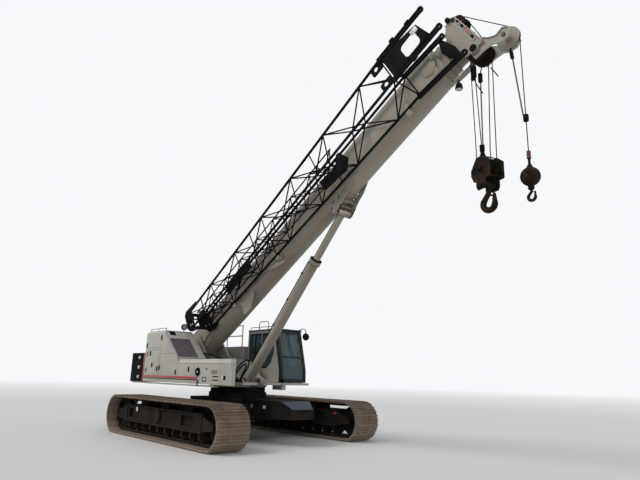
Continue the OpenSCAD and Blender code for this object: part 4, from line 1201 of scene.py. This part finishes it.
@dataclass
class LiftTrim:
    """Pipe, clamps and gland of the lift cylinder, and black strips of painted shadow along the edges of its
    bracket.

    The bracket's edge is given along the boom and above it, from the cylinder's upper pin.
    """

    pin_a: float = 6.320
    pin_p: float = -0.535
    bracket_y: float = 0.250
    bracket_line: tuple[Pair, ...] = ((-0.110, 0.020), (-0.060, -0.060), (0.040, -0.080), (0.220, 0.000))
    edge_t: float = 0.030
    barrel_l: float = 3.830
    barrel_r: float = 0.125
    pipe_y: float = -0.05
    pipe_off: float = 0.030
    pipe_root: float = 0.10
    pipe_start: float = 0.42
    pipe_end: float = 0.16
    clamps: tuple[float, ...] = (0.9, 1.7, 2.5, 3.3)

    @property
    def lie(self) -> Matrix:
        """Frame of the cylinder.

        Returns:
            The frame, with x from the base pin to the top pin and z to the upper side.
        """
        base = Vector(joint_of("lift_swing_2")["pos_m"])
        line = Vector(joint_of("lift_stroke_1")["axis"])
        return Matrix.Translation(base) @ Matrix.Rotation(-math.atan2(line.z, line.x), 4, "Y")

    def across(self, along: float) -> Matrix:
        """Gives a frame on the cylinder's axis whose z points to the top pin."""
        return self.lie @ Matrix.Translation((along, 0, 0)) @ Matrix.Rotation(math.radians(90), 4, "Y")

    def barrel(self) -> None:
        """Runs the pipe along the barrel and rings its top."""
        piece = Workpiece("lift_pipe")
        y, off, end = self.pipe_y, self.barrel_r + self.pipe_off, self.barrel_l - self.pipe_end
        route = [(self.pipe_start, y, self.pipe_root), (self.pipe_start, y, off), (end, y, off),
                 (end, y, self.pipe_root)]
        piece.pipe([self.lie @ p for p in bent(route, 0.05)], 0.014)
        for x in self.clamps:
            piece.block((x, y - 0.025, self.pipe_root), (x + 0.05, y + 0.025, off + 0.012), 0.004, self.lie)
        piece.close("lift_barrel", PLASTIC, "black_plastic")
        gland = Workpiece("lift_gland")
        gland.lathe([(0.090, 0.0), (0.151, 0.0), (0.151, 0.014), (0.135, 0.020), (0.090, 0.020)],
                    self.across(self.barrel_l - 0.006), 48)
        gland.lathe([(0.124, 0.0), (0.152, 0.0), (0.152, 0.010), (0.124, 0.010)],
                    self.across(self.barrel_l - 0.118), 48)
        gland.close("lift_barrel", PLASTIC, "black_plastic")

    def bracket(self) -> None:
        """Lays black strips of painted shadow on the inner sides of the bracket's two plates, along their
        edges where they bend round the pin.
        """
        piece = Workpiece("bracket_edge_shadow")
        pin = BOOM @ Matrix.Translation((self.pin_a, 0, self.pin_p))
        # Black strips on the inner sides of both plates: painted shadow of their shaded inner faces.
        for y in (-self.bracket_y, self.bracket_y - self.edge_t):
            piece.strip(self.bracket_line, 0.012, self.edge_t, pin @ upright(y))
        piece.close("boom_base", PLASTIC, "black_plastic")

    def build(self) -> None:
        """Makes the trim of cylinder and bracket."""
        self.barrel()
        self.bracket()


@dataclass
class FlyTrim:
    """End plates, panel, gusset, lugs and blank plate of the fly, and the cover on the boom beside it.

    Outlines are given along the boom and above it, from the foot pin.
    """

    web_y: float = -1.195
    rear_far: float = -0.955
    rear_near: float = -0.365
    end_t: float = 0.020
    outer_end: tuple[Pair, ...] = ((0.62, 0.02), (0.62, 0.46), (0.72, 0.55), (1.30, 0.50), (1.30, 0.42),
                                   (0.86, 0.44), (0.74, 0.38), (0.72, 0.06), (0.80, -0.06), (1.10, -0.20),
                                   (1.06, -0.28), (0.80, -0.18), (0.70, -0.10))
    inner_end: tuple[Pair, ...] = ((0.70, 0.00), (0.72, 0.46), (1.25, 0.43), (1.25, 0.35), (0.84, 0.35),
                                   (0.80, 0.05), (1.25, -0.10), (1.20, -0.19), (0.80, -0.13))
    middle_end: tuple[Pair, ...] = ((0.74, 0.40), (1.10, 0.40), (1.20, 0.10), (1.00, -0.15), (0.78, -0.05))
    middle_y: float = -0.66
    cross_tubes: tuple[Pair, ...] = ((0.69, 0.47), (0.68, 0.06), (1.06, -0.20))
    cross_r: float = 0.034
    panel: tuple[Pair, ...] = ((6.51, 0.107), (7.08, 0.020), (7.24, 0.255), (7.34, 0.240), (7.49, -0.114),
                               (7.32, -0.336), (6.56, -0.230))
    panel_y: float = -0.606
    gusset: tuple[Pair, ...] = ((10.34, 0.02), (10.42, 0.28), (10.50, 0.28), (10.61, -0.14), (10.60, -0.42),
                                (10.50, -0.42), (10.38, -0.24))
    gusset_y: float = -0.362
    sheet_t: float = 0.012
    lugs: tuple[Pair, ...] = ((9.93, 0.491), (10.36, 0.452), (10.06, -0.370))
    cover_at: Triple = (9.93, -0.270, 0.11)

    def rear_end(self) -> None:
        """Closes the fly's far end with bent end plates, the plate between them and three cross tubes."""
        piece = Workpiece("fly_rear_end")
        piece.plate(self.outer_end, self.end_t, BOOM @ upright(self.rear_far), 0.002)
        piece.plate(self.inner_end, self.end_t, BOOM @ upright(self.rear_near), 0.002)
        piece.plate(self.middle_end, 0.014, BOOM @ upright(self.middle_y), 0.002)
        for a, p in self.cross_tubes:
            piece.rod(on_boom(a, self.rear_far, p), on_boom(a, self.rear_near, p), self.cross_r, 16)
        piece.close("boom_base", BLACK, "black_paint")

    def sheet(self, name: str, outline: Sequence[Pair], y: float) -> None:
        """Cuts one flat sheet of the fly.

        Args:
            name: Name of the piece.
            outline: Its corners.
            y: Its plane.
        """
        piece = Workpiece(name)
        piece.plate(outline, self.sheet_t, BOOM @ upright(y), 0.002)
        piece.close("boom_base", BLACK, "black_paint")

    def plates(self) -> None:
        """Sets the blank plate on the web and the round cover on the boom's side."""
        label = Workpiece("fly_blank_plate")
        label.block((10.28, 0.07, 0.0), (10.44, 0.21, 0.004), 0.001, BOOM @ upright(self.web_y - 0.010))
        label.close("boom_base", LAMP, "putty_paint")
        cover = Workpiece("side_cover")
        cover.lathe([(0.0, 0.0), (0.185, 0.0), (0.182, 0.016), (0.150, 0.024), (0.0, 0.026)],
                    facing(on_boom(*self.cover_at), (0, -1, 0)), 48)
        cover.close("boom_base", PUTTY_BOOM_SHADED, "putty_paint")

    def arm_lugs(self) -> None:
        """Sets the lugs on the arms."""
        piece = Workpiece("fly_lugs")
        for a, p in self.lugs:
            piece.block((a - 0.06, p - 0.03, 0.0), (a + 0.06, p + 0.03, 0.050), 0.008,
                        BOOM @ upright(self.web_y - 0.025))
        piece.close("boom_base", BLACK, "black_paint")

    def build(self) -> None:
        """Makes all the trim of the fly."""
        self.rear_end()
        self.sheet("fly_inner_panel", self.panel, self.panel_y)
        self.plates()
        self.sheet("fly_inner_gusset", self.gusset, self.gusset_y)
        self.arm_lugs()


@dataclass
class HeadTrim:
    """Flanges, ridges, plates, ropes, lamp and pin caps of the boom head.

    Lines are given along the boom and above it, from the foot pin.
    """

    side_y: float = 0.245
    arm_y: float = 0.201
    rope_r: float = 0.0095
    front_line: tuple[Pair, ...] = ((10.79, 0.645), (10.955, 0.507), (11.015, -0.480))
    nose_line: tuple[Pair, ...] = ((11.045, -0.395), (11.120, -0.515), (11.230, -0.614), (11.400, -0.604),
                                   (11.474, -0.688), (11.446, -0.796), (11.320, -0.845), (11.184, -0.796),
                                   (11.084, -0.686), (10.905, -0.636), (10.705, -0.616))
    flange_w: float = 0.070
    nose_flange_w: float = 0.046
    ridge_line: tuple[Pair, ...] = ((10.700, 0.560), (10.865, 0.440), (10.900, -0.440))
    ridge_ties: tuple[float, ...] = (0.30, 0.10, -0.10, -0.30)
    ridge_h: float = 0.020
    plate_a: Pair = (10.915, 10.965)
    black_plates: tuple[Pair, ...] = ((0.345, 0.430), (0.150, 0.250), (-0.250, -0.150))
    red_plate: Pair = (-0.060, 0.060)
    top_pin: Pair = (10.82, 0.590)
    head_pin: Pair = (10.81, -0.45)
    lamp_arm: tuple[Pair, ...] = ((10.66, -0.43), (10.53, -0.505), (10.14, -0.460))
    lamp_at: Triple = (10.19, 0.01, -0.46)
    lamp_drop: float = 0.22

    def flanges(self) -> None:
        """Lays flanges along the front of the side plates and round the nose arms."""
        piece = Workpiece("head_flanges")
        front, nose = self.flange_w, self.nose_flange_w
        for out in (-1, 1):
            piece.strip(self.front_line, 0.016, front, BOOM @ upright(out * self.side_y - front / 2))
            piece.strip(self.nose_line, 0.012, nose, BOOM @ upright(out * self.arm_y - nose / 2))
        piece.close("boom_tip", PUTTY, "putty_paint")

    def ridges(self) -> None:
        """Ridges the side plates behind their front flange."""
        piece = Workpiece("head_side_ridges")
        for out in (-1, 1):
            side = BOOM @ upright(out * self.side_y - self.ridge_h / 2)
            piece.strip(self.ridge_line, 0.012, self.ridge_h, side)
            for p in self.ridge_ties:
                piece.strip([(10.895, p), (10.990, p)], 0.010, self.ridge_h, side)
        piece.close("boom_tip", PUTTY, "putty_paint")

    def plates(self) -> None:
        """Sets the black plates and the red one between the ridges, and two bars on the front."""
        side = BOOM @ upright(-self.side_y)
        back, front = self.plate_a
        black = Workpiece("head_front_plates")
        for low, high in self.black_plates:
            black.block((back, low, -0.003), (front, high, 0.003), 0.001, side)
        for p in (-0.02, 0.20):
            black.block((10.976, -0.20, p), (10.986, -0.03, p + 0.13), 0.002, BOOM)
        black.close("boom_tip", BLACK, "black_paint")
        red = Workpiece("head_red_plate")
        red.block((back, self.red_plate[0], -0.003), (front, self.red_plate[1], 0.003), 0.001, side)
        red.close("boom_tip", RED, "putty_paint")

    def ropes(self) -> None:
        """Stretches the two ropes from the top sheaves to the nose and main sheaves."""
        piece = Workpiece("head_ropes")
        piece.rod(on_boom(11.044, -0.09, 0.551), on_boom(11.530, 0.0, -0.656), self.rope_r, 8)
        piece.rod(on_boom(11.052, 0.09, 0.450), on_boom(11.002, 0.07, -0.410), self.rope_r, 8)
        piece.close("boom_tip", ROPE, "wire_rope")

    def caps(self) -> None:
        """Sets the dark caps on the top pin and on the head pin."""
        piece = Workpiece("head_caps")
        for out in (-1, 1):
            for (a, p), near, far, radius in ((self.top_pin, 0.235, 0.305, 0.052),
                                              (self.head_pin, 0.274, 0.290, 0.070)):
                piece.rod(on_boom(a, out * near, p), on_boom(a, out * far, p), radius, 28)
        piece.close("boom_tip", PLASTIC, "black_plastic")

    def lamp(self) -> None:
        """Hangs the work lamp and its bracket under the head."""
        bracket = Workpiece("lamp_bracket")
        bracket.strip(self.lamp_arm, 0.036, 0.12, BOOM @ upright(-0.055))
        bracket.close("boom_tip", PUTTY_BOOM_SHADED, "putty_paint")
        spot = on_boom(*self.lamp_at)
        face = Matrix.Translation(spot + Vector((0, 0, -self.lamp_drop)))
        lamp = Workpiece("head_lamp")
        lamp.rod(spot, spot + Vector((0, 0, -0.10)), 0.016, 10)
        lamp.lathe([(0.0, 0.0), (0.074, 0.0), (0.080, 0.020), (0.062, 0.110), (0.036, 0.140), (0.0, 0.146)],
                   face, 36)
        lamp.close("boom_tip", PLASTIC, "black_plastic")
        lens = Workpiece("head_lamp_lens")
        lens.lathe([(0.0, -0.012), (0.068, -0.006), (0.068, 0.002), (0.0, 0.002)], face, 36)
        lens.close("boom_tip", LAMP, "tinted_glass")

    def build(self) -> None:
        """Makes all the trim of the head."""
        self.flanges()
        self.ridges()
        self.plates()
        self.ropes()
        self.caps()
        self.lamp()


@dataclass
class HookTrim:
    """Switches, chains, weights, sockets and latches of the two hook lines.

    block_turn is how far the hook block is turned, in degrees, and weight_at is measured from its top.
    """

    block_drop: float = 2.010
    ball_drop: float = 2.335
    block_turn: float = -20.0
    weight_at: Triple = (-0.19, 0.07, 0.0)
    weight_r: float = 0.048
    cord_r: float = 0.011
    main_switches: tuple[tuple[Triple, Triple, float], ...] = (
        ((7.505, -0.150, 7.200), (7.595, -0.075, 7.450), 0.016),
        ((7.490, -0.140, 7.150), (7.560, -0.085, 7.230), 0.012),
        ((7.505, 0.095, 7.200), (7.580, 0.165, 7.400), 0.016),
    )
    main_links: tuple[tuple[Triple, Triple], ...] = (
        ((7.55, -0.112, 7.44), (7.60, -0.16, 7.62)),
        ((7.54, 0.13, 7.39), (7.60, 0.16, 7.62)),
        ((7.85, 0.0, 7.33), (7.99, 0.0, 7.09)),
        ((7.58, -0.10, 7.06), (7.71, -0.10, 6.81)),
        ((7.55, -0.112, 7.18), (7.58, -0.10, 7.06)),
    )
    main_chain_top: Triple = (7.545, 0.13, 7.200)
    ball_switch: tuple[Triple, Triple, Triple] = ((8.29, 0.0, 7.330), (8.27, 0.0, 7.480), (8.262, 0.0, 7.550))
    ball_chain_top: Triple = (8.292, 0.0, 7.330)
    ball_weight_up: float = 0.640
    plug_drop: float = 0.458
    plug_way: Triple = (0.22, -0.95, 0.10)
    main_hook_drop: float = 1.060
    main_hook_r: float = 0.115
    ball_hook_drop: float = 0.825
    ball_hook_r: float = 0.062

    @property
    def block_top(self) -> Vector:
        """Place of the rope sockets over the hook block."""
        return Vector(joint_of("hook_hang_2")["pos_m"]) - Vector((0, 0, self.block_drop))

    @property
    def ball_top(self) -> Vector:
        """Place of the rope socket over the ball."""
        nose = Vector(joint_of("ball_hang_2")["pos_m"])
        return Vector((joint_of("ball_hook_swivel")["pos_m"][0], 0, nose.z - self.ball_drop))

    def main_line(self) -> None:
        """Hangs switches and chain from the head and sets socket and weight over the block."""
        top = self.block_top
        turned = Matrix.Translation(top) @ Matrix.Rotation(math.radians(self.block_turn), 4, "Z")
        x, y = (turned @ Vector(self.weight_at)).xy
        dark = Workpiece("main_line_fittings")
        dark.block((-0.238, 0.030, -0.135), (-0.142, 0.110, -0.010), 0.014, turned)
        dark.block((-0.225, 0.042, -0.020), (-0.155, 0.098, 0.045), 0.012, turned)
        dark.rod((x, y, top.z + 0.055), (x, y, top.z + 0.175), self.weight_r, 20)
        for low, high, edge in self.main_switches:
            dark.block(low, high, edge)
        for start, end in self.main_links:
            dark.rod(start, end, self.cord_r, 8)
        dark.close("hook_line", PLASTIC, "black_plastic")
        chain = Workpiece("main_line_chain")
        chain.chain(self.main_chain_top, (x, y + 0.03, top.z + 0.170))
        chain.close("hook_line", STEEL, "machined_steel")

    def ball_line(self) -> None:
        """Hangs the switch, chain and weight of the ball line, sleeves its socket and plugs the ball."""
        top = self.ball_top
        low, middle, high = self.ball_switch
        weight = top + Vector((0, 0, self.ball_weight_up))
        dark = Workpiece("ball_line_fittings")
        dark.rod(low, middle, 0.034, 16)
        dark.rod((*middle[:2], middle[2] - 0.010), high, 0.018, 12)
        dark.lathe([(0.0105, -0.064), (0.040, -0.064), (0.048, -0.050), (0.048, 0.050), (0.040, 0.064),
                    (0.0105, 0.064)], Matrix.Translation(weight), 28)
        dark.close("ball_line", PLASTIC, "black_plastic")
        chain = Workpiece("ball_line_chain")
        chain.chain(self.ball_chain_top, weight + Vector((-0.045, 0, 0.060)))
        chain.close("ball_line", STEEL, "machined_steel")
        sleeve = Workpiece("socket_sleeve")
        sleeve.lathe([(0.0305, -0.125), (0.036, -0.125), (0.036, 0.010), (0.0305, 0.010)],
                     Matrix.Translation(top), 28)
        sleeve.close("ball_line", SLEEVE_RED, "putty_paint")
        plug = Workpiece("ball_plug")
        seat = facing(top - Vector((0, 0, self.plug_drop)), Vector(self.plug_way).normalized())
        plug.lathe([(0.012, 0.150), (0.030, 0.150), (0.030, 0.176), (0.012, 0.176)], seat, 24)
        plug.close("ball_line", PLASTIC, "black_plastic")

    def latch(self, body: str, middle: Vector, size: float) -> None:
        """Closes a hook's mouth with its thin sprung latch.

        Args:
            body: The hook's body.
            middle: Centre of the hook's curve.
            size: Mean radius of the hook.
        """
        piece = Workpiece(f"{body}_latch")
        start = middle + Vector((-0.05 * size, 0, 1.52 * size))
        end = middle + Vector((0.86 * size, 0, 1.22 * size))
        thick, wide = 0.03 * size, 0.14 * size
        reach = end - start
        piece.block((-thick, -wide, 0.0), (thick, wide, reach.length), 0.001, facing(start, reach))
        pin = Vector((0, 0.22 * size, 0))
        piece.rod(start - pin, start + pin, 0.07 * size, 12)
        piece.close(body, WORN_IRON, "worn_iron")

    def build(self) -> None:
        """Makes all the trim of the hook lines."""
        self.main_line()
        self.ball_line()
        self.latch("main_hook", self.block_top - Vector((0, 0, self.main_hook_drop)), self.main_hook_r)
        self.latch("ball_hook", self.ball_top - Vector((0, 0, self.ball_hook_drop)), self.ball_hook_r)


@dataclass(frozen=True)
class Sun:
    """A broad lamp: where its light comes from, its strength, its width in degrees and its colour."""

    name: str
    direction: Triple
    strength: float
    spread: float
    colour: Colour


@dataclass
class Studio:
    """The camera at the photograph's place, a pale floor and plain soft light.

    heading, pitch and roll are the camera's angles in degrees. focal_px is its focal length in pixels of
    an image that is image_w wide. The floor fades to the backdrop between the two radii of floor_fade.
    """

    place: Triple = (12.457, -8.433, 1.579)
    heading: float = 137.905
    pitch: float = 14.184
    roll: float = 1.399
    focal_px: float = 536.55
    image_w: float = 640.0
    sensor_mm: float = 36.0
    reach: float = 2000.0
    floor_half: float = 300.0
    floor_fade: Pair = (18.0, 70.0)
    floor_colour: Colour = (0.62, 0.60, 0.57)
    backdrop: Colour = (0.93, 0.94, 0.96)
    sky_colour: Colour = (0.80, 0.86, 0.95)
    sky_strength: float = 0.62
    suns: tuple[Sun, ...] = (
        Sun("key", (-0.35, -0.75, 0.9), 1.5, 30.0, (1.0, 0.97, 0.93)),
        Sun("fill", (0.9, 0.1, 0.6), 0.4, 60.0, (0.92, 0.95, 1.0)),
    )

    def camera(self) -> None:
        """Sets the camera from its heading, pitch and roll."""
        yaw, pitch, roll = (math.radians(a) for a in (self.heading, self.pitch, self.roll))
        ahead = Vector((math.cos(yaw) * math.cos(pitch), math.sin(yaw) * math.cos(pitch), math.sin(pitch)))
        level = Vector((math.sin(yaw), -math.cos(yaw), 0.0))
        above = level.cross(ahead)
        right = level * math.cos(roll) + above * math.sin(roll)
        up = above * math.cos(roll) - level * math.sin(roll)
        data = bpy.data.cameras.new("photo_camera")
        data.sensor_width = self.sensor_mm
        data.lens = self.focal_px * data.sensor_width / self.image_w
        data.clip_end = self.reach
        made = bpy.data.objects.new("photo_camera", data)
        turn = Matrix((right, up, -ahead)).transposed().to_4x4()
        made.matrix_world = Matrix.Translation(self.place) @ turn
        bpy.context.scene.collection.objects.link(made)
        bpy.context.scene.camera = made

    def floor(self) -> None:
        """Lays the pale floor, which fades to the white of the background far away."""
        mesh = bpy.data.meshes.new("floor")
        bm = bmesh.new()
        bmesh.ops.create_grid(bm, x_segments=1, y_segments=1, size=self.floor_half)
        bm.to_mesh(mesh)
        bm.free()
        made = bpy.data.materials.new("floor_pale")
        wiring = Wiring(made)
        shader = wiring.tree.nodes["Principled BSDF"]
        wiring.feed(self.floor_colour, shader.inputs["Base Color"])
        shader.inputs["Roughness"].default_value = 0.9
        reach = wiring.add("ShaderNodeVectorMath")
        reach.operation = "LENGTH"
        wiring.feed(wiring.add("ShaderNodeTexCoord").outputs["Object"], reach.inputs[0])
        white = wiring.add("ShaderNodeEmission")
        wiring.feed(self.backdrop, white.inputs["Color"])
        far = wiring.span(reach.outputs["Value"], self.floor_fade, (0.0, 1.0))
        wiring.surface(far, shader, white, "Material Output")
        mesh.materials.append(made)
        floor = bpy.data.objects.new("floor", mesh)
        bpy.context.scene.collection.objects.link(floor)

    def sky(self) -> None:
        """Makes a white background that lights the machine more softly than it looks."""
        world = bpy.data.worlds.new("studio")
        bpy.context.scene.world = world
        wiring = Wiring(world)
        lit = wiring.tree.nodes["Background"]
        wiring.feed(self.sky_colour, lit.inputs["Color"])
        lit.inputs["Strength"].default_value = self.sky_strength
        seen = wiring.add("ShaderNodeBackground")
        wiring.feed(self.backdrop, seen.inputs["Color"])
        seen.inputs["Strength"].default_value = 1.0
        rays = wiring.add("ShaderNodeLightPath").outputs
        share = wiring.combine("MAXIMUM", rays["Is Camera Ray"], rays["Is Glossy Ray"])
        share = wiring.combine("MAXIMUM", share, rays["Is Transmission Ray"])
        wiring.surface(share, lit, seen, "World Output")

    def lamp(self, sun: Sun) -> None:
        """Adds one broad lamp.

        Args:
            sun: Its facts.
        """
        data = bpy.data.lights.new(sun.name, "SUN")
        data.energy = sun.strength
        data.angle = math.radians(sun.spread)
        data.color = sun.colour
        made = bpy.data.objects.new(sun.name, data)
        made.rotation_mode = "QUATERNION"
        made.rotation_quaternion = Vector(sun.direction).to_track_quat("Z", "Y")
        bpy.context.scene.collection.objects.link(made)

    def build(self) -> None:
        """Sets camera, floor, background and lamps."""
        bpy.context.scene.view_settings.view_transform = "Standard"
        self.camera()
        self.floor()
        self.sky()
        for sun in self.suns:
            self.lamp(sun)


def dress_nodes() -> None:
    """Gives every CAD node its finish."""
    for finish, names in FINISH_OF.items():
        for name in names:
            node = frame["nodes"][name]
            node.data.materials.clear()
            node.data.materials.append(finish.material())
            LOG.info("%s: %s", name, finish.name)


def main() -> None:
    """Dresses the crane and sets the studio."""
    logging.basicConfig(level=logging.INFO, format="%(name)s %(message)s")
    dress_nodes()
    for lane in Lane:
        CrawlerTrack(lane).build()
    for trim in (HouseTrim, CabTrim, WeightTrim, BedTrim, LowerTrim, LiftTrim, FlyTrim, HeadTrim, HookTrim):
        trim().build()
    Studio().build()


if __name__ == "__main__":
    main()
